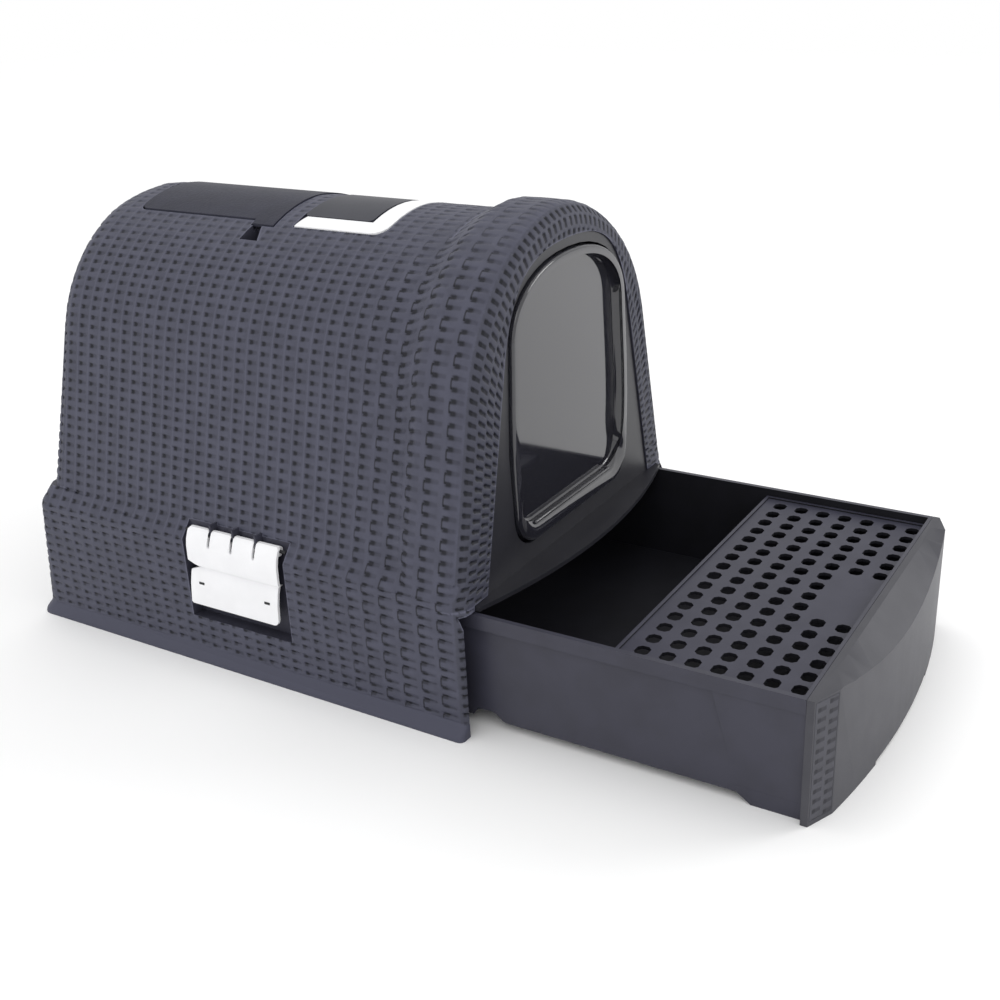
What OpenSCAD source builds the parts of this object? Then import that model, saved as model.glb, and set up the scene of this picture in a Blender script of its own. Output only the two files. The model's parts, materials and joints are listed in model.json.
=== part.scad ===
// Hooded litter box with a pull-out litter drawer, shown with the drawer pulled out.
// The door and the drawer face -Y, up is +Z, and the origin is the middle of the hood's foot on the floor.
// Sizes are in millimetres.

/* [Hood] */
// Width across the skirt, without the flared foot
skirt_w = 376; // [366:1:420]
// Height of the skirt up to its ledge
skirt_h = 119; // [112:1:140]
// Height of the sloping ledge between the skirt and the dome
ledge_h = 15; // [8:1:22]
// Inset of the dome from the skirt
ledge_w = 12; // [8:1:16]
// How far the foot of the skirt flares out
flare_w = 5; // [2:0.5:8]
// Height of the flared foot
flare_h = 14; // [8:1:20]
// Place of the hood's front face, measured forwards from the middle
front_y = 243; // [235:1:260]
// Place of the skirt's rear face at its top, measured backwards from the middle
rear_y = 236; // [230:1:250]
// How far the skirt's rear face slopes out towards the floor
rear_draft = 14; // [4:1:18]
// How much wider the foot is at the front than at the rear, on each side
splay = 4; // [0:0.5:6]
// Height of the dome's ridge
dome_h = 388; // [376:1:410]
// Depth of the shoulder, where the sides turn over into the roof, below the ridge
shoulder_drop = 107; // [88:1:123]
// Width across the dome at its shoulder
shoulder_w = 277; // [262:1:300]
// Lean of the rear wall from upright
rear_lean = 3; // [0:0.5:6]
// Rounding between the rear wall and the roof
roof_r = 24; // [16:1:32]
// Rounding of the dome's upright rear corners
corner_r = 22; // [12:1:26]
// Rounding of the skirt's upright rear corners
skirt_r = 12; // [6:1:20]
// Height of the front collar above the dome
collar_step = 11; // [5:1:16]
// Depth of the collar, front to rear
collar_l = 76; // [60:1:90]
// Rounding of the collar's front edge
collar_r = 18; // [10:1:24]
// Width of the woven strip on the collar's front
strip_w = 40; // [32:1:46]
// Wall of the hood
hood_wall = 3; // [2:0.25:4]

/* [Roof fittings] */
// Depth of the recess that holds the handle and its plate, below the ridge
tray_depth = 26; // [24:0.5:32]
// Half width of the recess for the handle
grip_half = 61.5; // [54:0.5:68]
// Width of the handle's band
grip_band = 14; // [10:0.5:18]
// Width of the handle's crossbar, front to rear
grip_bar = 20; // [14:1:26]
// Length of the recess for the handle
grip_l = 96.5; // [80:0.5:100]
// Half width of the hatch
hatch_half = 57; // [50:1:62]
// Length of the hatch
hatch_l = 164; // [140:1:168]
// Distance that the hatch's finger tab stands out sideways
tab_w = 6; // [4:1:9]
// Depth of the compartment under the hatch
bin_depth = 66; // [40:1:80]
// Wall of the compartment
bin_wall = 2; // [1.5:0.25:3]

/* [Door] */
// Width of the frame beside the door, where the dome's sides turn over
jamb_w = 7.5; // [6:0.5:18]
// Height of the door's lower edge
door_low = 130; // [126:1:150]
// Depth of the door's top edge below the ridge
door_drop = 26; // [24:1:38]
// Depth of the door's hinge axis below the ridge
axis_drop = 80; // [73:1:93]
// Width of the door's thick border
door_rim = 9; // [6:0.5:14]
// Radius of the door's hinge pins
door_pin_r = 2; // [1.5:0.25:3]
// Gap between the drawer's rim and the sill over it
sill_gap = 1.5; // [1:0.5:3]
// Thickness of the sill
sill_t = 4; // [3:0.5:6]

/* [Side clips] */
// Height of a clip
clip_h = 74; // [60:1:78]
// Width of a clip, along the side of the hood
clip_w = 102; // [80:1:110]
// Centre of a clip, measured backwards from the middle
clip_y = -8; // [-20:1:10]
// Height of a clip's hinge axis
clip_axis_z = 127; // [124:0.5:130]
// Radius of a clip's hinge pin
clip_pin_r = 1.5; // [1.25:0.25:2]
// Radius of a clip's knuckles
knuckle_r = 4.5; // [4:0.25:5]
// Number of knuckles on a clip
knuckles = 4; // [3:1:5]
// Width of the slit between two knuckles
slit_w = 3; // [2.5:0.25:4]

/* [Base] */
// Thickness of the base pan's floor
pan_t = 3; // [2:0.5:5]
// Height of the base pan's walls
pan_h = 38; // [20:1:40]
// Place of the base pan's front edge, measured forwards from the middle
pan_front = 150; // [130:5:170]
// Distance from the pan's side to the middle of a runner
runner_inset = 44; // [34:1:74]
// Width of a runner
runner_w = 8; // [5:1:14]

/* [Drawer] */
// Distance from the skirt's face to the drawer's rim
rim_inset = 17; // [15:0.5:28]
// Height of the drawer's rim
drawer_h = 106.5; // [98:0.5:107]
// How much narrower each side of the drawer is at its foot
draft = 5; // [2:0.5:6]
// How far the drawer is pulled out
pulled = 281; // [240:1:285]
// Length of the drawer from its corners to its rear wall
drawer_l = 464; // [430:1:466]
// How far the front bows out in the middle
bow = 22; // [14:1:26]
// Wall of the drawer
drawer_wall = 3; // [2:0.25:4]
// Height of the underside of the drawer's floor
floor_z = 16; // [14:0.5:20]
// Height of the lower edge of the drawer's sides
hem_z = 8; // [6:0.5:10]
// Height of the band round the drawer's rim
band_h = 13; // [8:1:18]
// Length of the front feet along the sides
foot_l = 44; // [30:1:60]
// How much further the front bows out at its foot
foot_bow = 3; // [0:0.5:8]
// Width of the woven strip at each front corner
strip_l = 24; // [18:1:28]

/* [Step grid] */
// Length of the grid, front to rear
grid_l = 153; // [120:1:170]
// Depth of the grid's top below the drawer's rim
grid_drop = 6.5; // [4:0.5:20]
// Thickness of the grid's plate
grid_t = 3; // [2:0.5:4]
// Height of the border round the grid
grid_border = 1.5; // [1:0.5:5]
// Distance between two holes across the drawer
hole_pitch_x = 19.8; // [18:0.2:24]
// Distance between two holes from front to rear
hole_pitch_y = 20.8; // [18:0.2:24]
// Width of a hole
hole_w = 13; // [6:0.5:14]
// Length of a hole
hole_l = 11.5; // [6:0.5:14]
// Width of the grid's bare edge towards the litter
grid_edge = 13.5; // [8:0.5:20]

/* [Fits] */
// Gap between a moving piece and what surrounds it
gap = 1; // [0.6:0.1:1.4]
// Gap between two pieces that lie against each other
seat = 0.3; // [0.2:0.05:0.4]
// Radial running clearance of a pin in its bore
run = 0.06; // [0.03:0.01:0.09]

/* [Hidden] */

eps = 0.01;
anthracite = [0.33, 0.33, 0.38];
smooth_grey = [0.24, 0.24, 0.26];
drawer_grey = [0.29, 0.29, 0.33];
grid_grey = [0.34, 0.34, 0.40];
dark_grey = [0.16, 0.16, 0.18];
white_plastic = [0.95, 0.95, 0.95];
smoked = [0.35, 0.36, 0.38, 0.5];

// ---- outline of the hood ----
sill_z = drawer_h + sill_gap;
ledge_z = skirt_h + ledge_h;
shoulder_z = dome_h - shoulder_drop;
dome_foot = skirt_w / 2 - ledge_w;
lean_run = dome_foot - shoulder_w / 2;
lean = atan(lean_run / (shoulder_z - ledge_z));
cap_pull = 77;
cap_flat = 49;
cap_steps = 14;

// Point on a Bezier curve with end points a and d and handles b and c
function bezier(a, b, c, d, t) =
    pow(1 - t, 3) * a + 3 * pow(1 - t, 2) * t * b + 3 * (1 - t) * t * t * c + pow(t, 3) * d;

// Half of the arch's outline above the ledge as [half width, height], shoulder first, grown outwards by o
function cap(o) = let(
    a = [shoulder_w / 2 + o, shoulder_z],
    b = a + cap_pull * [-sin(lean), cos(lean)],
    top = dome_h + o,
    c = [cap_flat + o, top],
    d = [0, top])
    [for (i = [0:cap_steps]) bezier(a, b, c, d, i / cap_steps)];

// Half width of the dome at height z, grown outwards by o
function dome_half(z, o) = z <= shoulder_z
    ? dome_foot + o - (z - ledge_z) * tan(lean)
    : lookup(z, [for (p = cap(o)) [p[1], p[0]]]);

// Depth of the rear wall at height z, and height of the roof at depth y
rear_inset = 4;
rear_foot = rear_y - rear_inset;
function roof_c(o) = [rear_foot - (dome_h - roof_r - ledge_z) * tan(rear_lean) - roof_r / cos(rear_lean),
    dome_h - roof_r];
function wall_y(z, o) = let(c = roof_c(o), r = roof_r + o, zt = c[1] + r * sin(rear_lean))
    z <= zt ? c[0] + r / cos(rear_lean) - (z - c[1]) * tan(rear_lean)
        : c[0] + sqrt(max(0, r * r - (z - c[1]) * (z - c[1])));
function roof_z(y, o) = let(c = roof_c(o), r = roof_r + o, yt = c[0] + r * cos(rear_lean))
    y <= c[0] ? c[1] + r
        : y <= yt ? c[1] + sqrt(max(0, r * r - (y - c[0]) * (y - c[0])))
        : c[1] + (c[0] + r / cos(rear_lean) - y) / tan(rear_lean);

// Half width of the dome at depth y and height z
function dome_at(y, z, o) = let(
    r = corner_r + o,
    d = min(r, max(0, y - wall_y(z, o) + r)))
    max(0, dome_half(z, o) - r + sqrt(max(0, r * r - d * d)));

// Outline of the dome at depth y, from its foot at height z0
function dome_outline(y, o, z0) = let(
    top = roof_z(y, o),
    zs = [for (z = concat([shoulder_z], [for (p = cap(o)) p[1]])) min(z, top)],
    half = [for (z = concat([z0], zs)) [dome_at(y, min(z, top - eps), o), z]])
    concat(half, [for (i = [len(half) - 1:-1:0]) [-half[i][0], half[i][1]]]);

// Outline of the collar from its foot beside the skirt, shrunk by i
collar_foot = sill_z + 4;
function collar_outline(i) = let(
    half = concat([[skirt_w / 2 - i, collar_foot]], cap(collar_step - i)))
    concat(half, [for (k = [len(half) - 2:-1:0]) [-half[k][0], half[k][1]]]);

// How far a rounding of radius r still holds back the outline at depth d behind the face
function round_in(r, d) = d >= r ? 0 : r - sqrt(r * r - (r - d) * (r - d));

// Points of an arc about c from angle a0 to angle a1
function arc(c, r, a0, a1, n) = [for (i = [0:n]) c + r * [cos(a0 + (a1 - a0) * i / n), sin(a0 + (a1 - a0) * i / n)]];

// Rectangle seen from above, from front y0 to rear y1, with front radius rf and rear radius rr
function floor_plan(half, y0, y1, rf, rr) = concat(
    arc([half - rf, y0 + rf], rf, -90, 0, 4), arc([half - rr, y1 - rr], rr, 0, 90, 4),
    arc([-half + rr, y1 - rr], rr, 90, 180, 4), arc([-half + rf, y0 + rf], rf, 180, 270, 4));

// An outline stood upright at depth y, and a plan laid flat at height z
function upright(y, outline) = [for (q = outline) [q[0], y, q[1]]];
function flat(z, plan) = [for (q = plan) [q[0], q[1], z]];

// Solid through a row of sections with equal numbers of points, each pair of neighbours hulled
module loft(sections) {
    n = len(sections[0]);
    for (i = [0:len(sections) - 2])
        hull()
        polyhedron(concat(sections[i], sections[i + 1]), concat(
            [[for (k = [0:n - 1]) k]], [[for (k = [n - 1:-1:0]) n + k]],
            [for (k = [0:n - 1]) [k, n + k, n + (k + 1) % n, (k + 1) % n]]));
}

// An outline carried from depth y0 to depth y1
module carried(y0, y1, outline) {
    translate([0, y1, 0])
    rotate([90, 0, 0])
    linear_extrude(y1 - y0) polygon(outline);
}

// Band between two growths of the dome's straight stretch, as an outline
function band(o_out, o_in) = let(
    top = [for (p = cap(o_out)) p],
    low = [for (p = cap(o_in)) p],
    n = len(top) - 1)
    concat(top, [for (i = [n - 1:-1:0]) [-top[i][0], top[i][1]]],
        [for (i = [0:n]) [-low[i][0], low[i][1]]], [for (i = [n - 1:-1:0]) low[i]]);

// ---- body of the dome, the collar and the skirt ----
dome_front = -front_y + collar_l - 26;
back_turns = 6;
function dome_stations(o) = let(c = roof_c(o), r = roof_r + o, yt = c[0] + r * cos(rear_lean), end = wall_y(ledge_z, o))
    concat([dome_front, c[0]],
        [for (i = [1:back_turns]) c[0] + r * sin((90 - rear_lean) * i / back_turns)],
        [for (i = [1:3]) yt + (end - yt) * i / 3 - (i == 3 ? 0.5 : 0)]);

module dome_body(o, z0) {
    loft([for (y = dome_stations(o)) upright(y, dome_outline(y, o, z0))]);
}

edge_turns = 5;
foot_r = 5;
module collar_body(wall) {
    y0 = -front_y + wall;
    y1 = -front_y + collar_l;
    deep = collar_r - wall;
    ys = concat([for (k = [0:edge_turns]) y0 + deep * (1 - cos(90 * k / edge_turns))], [y1 - 22, y1]);
    held = concat([for (k = [0:edge_turns]) wall + round_in(deep, ys[k] - y0)], [wall, wall + collar_step]);
    loft([for (i = [0:len(ys) - 1]) upright(ys[i], collar_outline(held[i]))]);
}

// The skirt in tiers: its front corners are sharper below the collar
module skirt_body(wall, z0) {
    half = skirt_w / 2 - wall;
    y0 = -front_y + wall;
    y1 = rear_y - wall;
    low_z = collar_foot - 14;
    low_y1 = y1 + rear_draft * (1 - low_z / skirt_h);
    mid_y1 = y1 + rear_draft * (1 - collar_foot / skirt_h);
    rr = skirt_r - wall;
    ledge_drop = wall * tan((90 - atan(ledge_h / ledge_w)) / 2);
    loft([
        flat(z0, floor_plan(half, y0, y1 + rear_draft, foot_r - wall, rr)),
        flat(low_z, floor_plan(half, y0, low_y1, foot_r - wall, rr)),
        flat(collar_foot, floor_plan(half, y0, mid_y1, collar_r - wall, rr)),
        flat(skirt_h - ledge_drop, floor_plan(half, y0, y1, collar_r - wall, rr)),
        flat(ledge_z - ledge_drop, floor_plan(half - ledge_w, y0 + ledge_w, y1 - rear_inset, collar_r - wall, rr))]);
}

module foot_flare() {
    plan = floor_plan(skirt_w / 2 - 1, -front_y, rear_y + rear_draft * (1 - flare_h / skirt_h) - 1, foot_r, skirt_r);
    wide = floor_plan(skirt_w / 2 + flare_w, -front_y, rear_y + rear_draft + flare_w, foot_r, skirt_r);
    spread = [for (q = wide) q[1] < 0 ? [q[0] + sign(q[0]) * splay, q[1]] : q];
    loft([flat(0, spread), flat(3, spread), flat(flare_h, plan)]);
}

module hood_outside() {
    dome_body(0, skirt_h);
    collar_body(0);
    skirt_body(0, 0);
    foot_flare();
}

module hood_inside() {
    dome_body(-hood_wall, skirt_h);
    collar_body(hood_wall);
    skirt_body(hood_wall, -1);
}

// ---- places that more than one piece uses ----
clip_rim = 6;
clip_x = skirt_w / 2;
clip_floor = clip_x - ledge_w;
clip_wall = 2.4;
clip_low = clip_axis_z + knuckle_r - clip_h;
clip_axis_x = clip_floor + knuckle_r + gap;
bay_l = grip_l;
bay_y1 = -5.5;
bay_y0 = bay_y1 - bay_l;
hatch_y0 = 14.5;
hatch_y1 = hatch_y0 + hatch_l;
lid_t = 2.6;
lid_proud = 1;
hatch_depth = 6;
bin_half = hatch_half - 8;
bin_y0 = hatch_y0 + 10;
bin_y1 = 152;
panel_y0 = -front_y + 1.5;
panel_y1 = panel_y0 + 3.8;
drawer_half = skirt_w / 2 - rim_inset;
mouth_half = skirt_w / 2 - hood_wall - 0.5;
grip_floor = dome_h - tray_depth;
grip_pivot = [bay_y1 - 10, grip_floor + 10];
hatch_axis = [hatch_y1 + 1.7, dome_h - 2];
hatch_pin_r = 1;
hatch_knuckle_r = 2.2;
hatch_knuckle = 11.5;
pin_half = hatch_knuckle + 3.5;

// Block seen from above with rounded corners, from height z0 to z1
module block(half, y0, y1, r, z0, z1) {
    translate([0, 0, z0])
    linear_extrude(z1 - z0) polygon(floor_plan(half, y0, y1, r, r));
}

// Recess in the roof for the handle, grown by g on its sides and floor
bay_r = 12;
bay_rear_r = 2;
module handle_recess(g) {
    translate([0, 0, grip_floor - g])
    linear_extrude(tray_depth + 20) polygon(floor_plan(grip_half + g, bay_y0 - g, bay_y1 + g, bay_r + g, bay_rear_r + g));
}

// Recess in the roof for the hatch and its finger tab, grown by g on its sides and floor
module hatch_recess(g) {
    difference() {
        union() {
            block(hatch_half + gap + g, hatch_y0 - gap - g, hatch_y1 + gap + g, 8 + g, shoulder_z, dome_h + 20);
            translate([-hatch_half - tab_w - gap - g, hatch_y0 - gap - g, shoulder_z])
            cube([tab_w + 20, 26 + 2 * g, dome_h]);
            // slot for the knuckle behind the hatch
            translate([-hatch_knuckle - gap - g, hatch_y1 - 5, shoulder_z])
            cube([2 * (hatch_knuckle + gap + g), hatch_axis[0] - hatch_y1 + 9 + g, dome_h]);
        }
        dome_body(-hatch_depth - g, skirt_h);
    }
}

// Finger notch beside the hatch's tab, grown by g
module finger_notch(g) {
    x = -hatch_half - tab_w;
    translate([0, 0, shoulder_z + 64 - g])
    linear_extrude(dome_h - shoulder_z)
    polygon([[x + 4, 36 + g], [x - 17 - g, 40 + 2 * g], [x - 17 - g, 20 - 2 * g], [x + 4, 29 - g]]);
}

// Recess in a side of the hood for the clip on the right, grown by g
module clip_recess(g) {
    translate([clip_floor - g, clip_y - clip_w / 2 - clip_rim - g, clip_low - 14 - g])
    cube([60, clip_w + 2 * clip_rim + 2 * g, ledge_z + 6 - clip_low + 14 + 2 * g]);
}

// Outline of the opening in the collar's front, shrunk inwards by i
mouth_pull = [-14.5, 76];
mouth_flat = 62;
function mouth_outline(i) = let(
    o = collar_step - strip_w - i,
    a = [shoulder_w / 2 + o, shoulder_z],
    foot = [dome_foot + o + 2, sill_z + max(0, i)],
    top = dome_h + collar_step - strip_w + 13 - i,
    b = a + mouth_pull,
    half = concat([foot], [for (k = [0:cap_steps]) bezier(a, b, [mouth_flat, top], [0, top], k / cap_steps)]))
    concat(half, [for (k = [len(half) - 2:-1:0]) [-half[k][0], half[k][1]]]);

module hood_shell() {
    color(anthracite)
    difference() {
        hood_outside();
        handle_recess(0);
        hatch_recess(0);
        finger_notch(0);
        for (side = [0, 1]) mirror([side, 0, 0]) clip_recess(0);
        difference() {
            hood_inside();
            handle_recess(hood_wall);
            hatch_recess(hood_wall);
            finger_notch(hood_wall);
            for (side = [0, 1]) mirror([side, 0, 0]) clip_recess(clip_wall);
        }
        // opening of the collar's front, and the mouth of the drawer bay under the sill
        carried(-front_y - 10, -front_y + 20, mouth_outline(0));
        translate([-mouth_half, -front_y - 10, -1]) cube([2 * mouth_half, 40, sill_z + 1]);
        translate([-sill_half - 0.5, -front_y - 10, 0]) cube([2 * sill_half + 1, 40, sill_z + sill_t + 0.5]);
        // hole under the hatch for the storage compartment
        block(bin_half + gap, bin_y0 - gap, bin_y1 + gap, 4, shoulder_z, dome_h + 20);
        // seats of the hatch's pin
        hatch_rod(hatch_pin_r + 0.1, pin_half + 0.5);
    }
    // ribs in each clip recess that carry the clip's pin
    color(anthracite)
    for (side = [0, 1]) mirror([side, 0, 0])
    for (i = [1:knuckles - 1])
        difference() {
            translate([clip_floor - 0.5, clip_y - clip_w / 2 + i * clip_w / knuckles - slit_w / 2 + 0.6,
                clip_axis_z - 6])
            cube([clip_axis_x - clip_floor + 3.5, slit_w - 1.2, 16]);
            translate([clip_axis_x, clip_y, clip_axis_z])
            rotate([90, 0, 0]) cylinder(r = clip_pin_r + 0.2, h = clip_w, center = true, $fn = 24);
        }
}

// ---- front panel with its sill ----
sill_half = drawer_half - 4;
sill_bow = bow + 2;
sill_front = -front_y - 4;
function bowed(half, y0, sag, n) = [for (i = [0:n]) let(x = -half + 2 * half * i / n)
    [x, y0 - sag * (1 - x * x / (half * half))]];

// Outline of the door, grown outwards by o
door_half = shoulder_w / 2 + collar_step - strip_w - jamb_w;
door_top = dome_h - door_drop;
door_axis_z = dome_h - axis_drop;
door_cap_z = door_top - 62;
door_wide_z = door_low + 85;
door_foot_r = 30;
function door_outline(o) = let(
    top = door_top + o,
    low = door_low - o,
    wide = door_half + o,
    neck = door_half - 5 + o,
    foot = door_half - 4 + o,
    half = concat(
        arc([foot - door_foot_r, low + door_foot_r], door_foot_r, -90, -4, 6),
        [[wide, door_wide_z]],
        [for (a = [0:10:90]) [neck * pow(cos(a), 0.9), door_cap_z + (top - door_cap_z) * pow(sin(a), 0.9)]]))
    concat(half, [for (k = [len(half) - 2:-1:0]) [-half[k][0], half[k][1]]]);

neck_half = door_half - 5;
boss_x0 = neck_half + 2;
boss_l = 12;
boss_r = 4;
frame_back = -front_y + hood_wall + seat;
door_axis_y = -front_y + hood_wall + door_pin_r + 0.5;
module front_frame() {
    color(smooth_grey)
    difference() {
        union() {
            // panel, and the flange behind the woven strip
            carried(panel_y0, panel_y1, mouth_outline(0.5));
            carried(frame_back, panel_y1, mouth_outline(-6));
            // sill
            translate([0, 0, sill_z])
            linear_extrude(sill_t)
            polygon(concat([[sill_half, panel_y1], [-sill_half, panel_y1]],
                bowed(sill_half, sill_front, sill_bow, 16)));
            // bosses that carry the door's pins
            for (side = [0, 1]) mirror([side, 0, 0])
            difference() {
                translate([boss_x0, door_axis_y, door_axis_z])
                rotate([0, 90, 0]) cylinder(r = boss_r, h = boss_l, $fn = 32);
                translate([boss_x0 + 1, frame_back - 20, door_axis_z - 9]) cube([20, 20, 18]);
            }
        }
        carried(-front_y - 10, -front_y + 20, door_outline(2));
        translate([-mouth_half, panel_y0 - 1, sill_z - 10]) cube([2 * mouth_half, 20, 10]);
        for (side = [0, 1]) mirror([side, 0, 0])
        translate([boss_x0 - 1, door_axis_y, door_axis_z])
        rotate([0, 90, 0]) cylinder(r = door_pin_r + run, h = boss_l + 2, $fn = 32);
    }
}

// ---- swing door ----
pane_t = 2.2;
door_t = 8.5;
door_front_y = -front_y - 1.5;
knuckle_x0 = neck_half - door_rim;
module door_flap() {
    color(smoked)
    difference() {
        union() {
            difference() {
                carried(door_front_y, door_front_y + door_t, door_outline(0));
                carried(door_front_y - 1, door_front_y + door_t - pane_t, door_outline(-door_rim));
            }
            // grip bar across the foot of the door
            translate([-door_half + 34, door_front_y - 2, door_low + door_rim - 1]) cube([2 * door_half - 68, 6, 5]);
            for (side = [0, 1]) mirror([side, 0, 0])
            translate([knuckle_x0, door_axis_y, door_axis_z])
            rotate([0, 90, 0]) cylinder(r = boss_r, h = door_rim, $fn = 32);
        }
        door_pin_rods(door_pin_r);
    }
}

module door_pin_rods(r) {
    for (side = [0, 1]) mirror([side, 0, 0])
    translate([knuckle_x0 + 2, door_axis_y, door_axis_z])
    rotate([0, 90, 0]) cylinder(r = r, h = boss_x0 + boss_l - knuckle_x0 - 3, $fn = 32);
}

module door_pins() {
    color(dark_grey) door_pin_rods(door_pin_r);
}

// ---- carrying handle, its plate and its pins ----
arm_in = grip_half - gap - grip_band;
bar_y0 = bay_y0 + gap;
bar_y1 = bar_y0 + grip_bar;
plate_half = arm_in - gap;
plate_y0 = bar_y1 + 2.2 * gap;
plate_y1 = bay_y1 - gap;
bar_t = 9;
pivot_r = 9;
grip_pin_r = 2;

// Part of the dome's straight stretch between heights z0 and o above the roof
module roof_slab(o, z0) {
    intersection() {
        carried(bay_y0 - 5, bay_y1 + 5, band(o, -60));
        translate([-grip_half, bay_y0 - 5, z0]) cube([2 * grip_half, bay_l + 10, tray_depth + 5]);
    }
}

module carry_handle() {
    color(white_plastic)
    difference() {
        union() {
            // crossbar
            intersection() {
                carried(bay_y0 - 5, bay_y1 + 5, band(0.5, -bar_t));
                block(arm_in + grip_band, bar_y0, bar_y1 + 20, 14, shoulder_z, dome_h + 9);
                translate([-grip_half, bar_y0, grip_floor + gap]) cube([2 * grip_half, grip_bar, tray_depth]);
            }
            // arms, round at their rear ends
            intersection() {
                roof_slab(0.5, grip_floor + gap);
                block(arm_in + grip_band, bar_y0, bay_y1 + 20, 14, shoulder_z, dome_h + 9);
                for (side = [0, 1]) mirror([side, 0, 0])
                union() {
                    translate([arm_in, bar_y0, shoulder_z]) cube([40, grip_pivot[0] - bar_y0, dome_h]);
                    translate([arm_in, grip_pivot[0], grip_pivot[1]])
                    rotate([0, 90, 0]) cylinder(r = pivot_r, h = 40, $fn = 48);
                }
            }
        }
        grip_pin_holes(grip_pin_r);
    }
}

module grip_pin_holes(r) {
    for (side = [0, 1]) mirror([side, 0, 0])
    translate([arm_in - 9, grip_pivot[0], grip_pivot[1]])
    rotate([0, 90, 0]) cylinder(r = r, h = grip_band + 6, $fn = 32);
}

module handle_pins() {
    color(dark_grey) grip_pin_holes(grip_pin_r);
}

module handle_plate() {
    color(smooth_grey)
    difference() {
        intersection() {
            roof_slab(0.5, grip_floor + seat);
            block(plate_half, plate_y0, plate_y1, 5, shoulder_z, dome_h + 9);
        }
        // hollow from below
        intersection() {
            carried(plate_y0 + 4, plate_y1 - 4, band(-3, -60));
            translate([-plate_half + 8, plate_y0 + 4, 0]) cube([2 * plate_half - 16, plate_y1 - plate_y0 - 8, dome_h]);
        }
        grip_pin_holes(grip_pin_r + run);
    }
}

// ---- storage compartment and its hatch ----
flange_t = 1.5;
module storage_bin() {
    flange_top = -hatch_depth + seat + flange_t;
    color(dark_grey)
    difference() {
        union() {
            intersection() {
                block(bin_half, bin_y0, bin_y1, 4, dome_h - bin_depth, dome_h);
                carried(bin_y0, bin_y1, dome_outline(0, flange_top, dome_h - bin_depth - 1));
            }
            // flange that hangs on the floor of the hatch's recess
            intersection() {
                block(bin_half + 5, bin_y0 - 5, bin_y1 + 3, 4, shoulder_z, dome_h);
                carried(bin_y0 - 6, bin_y1 + 4, band(flange_top, -hatch_depth + seat));
            }
        }
        block(bin_half - bin_wall, bin_y0 + bin_wall, bin_y1 - bin_wall, 3, dome_h - bin_depth + bin_wall, dome_h + 9);
    }
}

// Height of the roof at x and y
function roof_at(x, y) = let(top = roof_z(y, 0))
    lookup(abs(x), [for (k = [0:24]) let(z = top - eps - pow(k, 1.5) * 0.35) [dome_at(y, z, 0), z]]);

lid_nx = 20;
lid_ny = 3;
module hatch_lid() {
    xs = [for (i = [0:lid_nx]) -hatch_half - tab_w + (2 * hatch_half + tab_w) * i / lid_nx];
    ys = [for (j = [0:lid_ny]) hatch_y0 + hatch_l * j / lid_ny];
    n = (lid_nx + 1) * (lid_ny + 1);
    points = [for (h = [lid_proud, lid_proud - lid_t]) for (y = ys) for (x = xs) [x, y, roof_at(x, y) + h]];
    function at(k, i, j) = k * n + j * (lid_nx + 1) + i;
    faces = concat(
        [for (i = [0:lid_nx - 1]) for (j = [0:lid_ny - 1]) for (t = [0, 1]) t == 0
            ? [at(0, i, j), at(0, i + 1, j + 1), at(0, i + 1, j)] : [at(0, i, j), at(0, i, j + 1), at(0, i + 1, j + 1)]],
        [for (i = [0:lid_nx - 1]) for (j = [0:lid_ny - 1]) for (t = [0, 1]) t == 0
            ? [at(1, i, j), at(1, i + 1, j), at(1, i + 1, j + 1)] : [at(1, i, j), at(1, i + 1, j + 1), at(1, i, j + 1)]],
        [for (i = [0:lid_nx - 1]) for (j = [0, lid_ny]) j == 0
            ? [at(0, i, j), at(0, i + 1, j), at(1, i + 1, j), at(1, i, j)]
            : [at(0, i + 1, j), at(0, i, j), at(1, i, j), at(1, i + 1, j)]],
        [for (j = [0:lid_ny - 1]) for (i = [0, lid_nx]) i == 0
            ? [at(0, i, j + 1), at(0, i, j), at(1, i, j), at(1, i, j + 1)]
            : [at(0, i, j), at(0, i, j + 1), at(1, i, j + 1), at(1, i, j)]]);
    color(grid_grey)
    difference() {
        union() {
            intersection() {
                polyhedron(points, faces);
                union() {
                    block(hatch_half, hatch_y0, hatch_y1, 8, shoulder_z, dome_h + 20);
                    translate([-hatch_half - tab_w, hatch_y0, shoulder_z]) cube([tab_w + 20, 24, dome_h]);
                }
            }
            hatch_rod(hatch_knuckle_r, hatch_knuckle);
            translate([-hatch_knuckle, hatch_y1 - 4, dome_h - 3.5]) cube([2 * hatch_knuckle, 6, 3]);
        }
        hatch_rod(hatch_pin_r + run, hatch_knuckle + 1);
    }
}

// Rod along the hatch's hinge axis
module hatch_rod(r, half) {
    translate([-half, hatch_axis[0], hatch_axis[1]])
    rotate([0, 90, 0]) cylinder(r = r, h = 2 * half, $fn = 32);
}

module hatch_pin() {
    color(dark_grey) hatch_rod(hatch_pin_r, pin_half);
}

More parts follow.
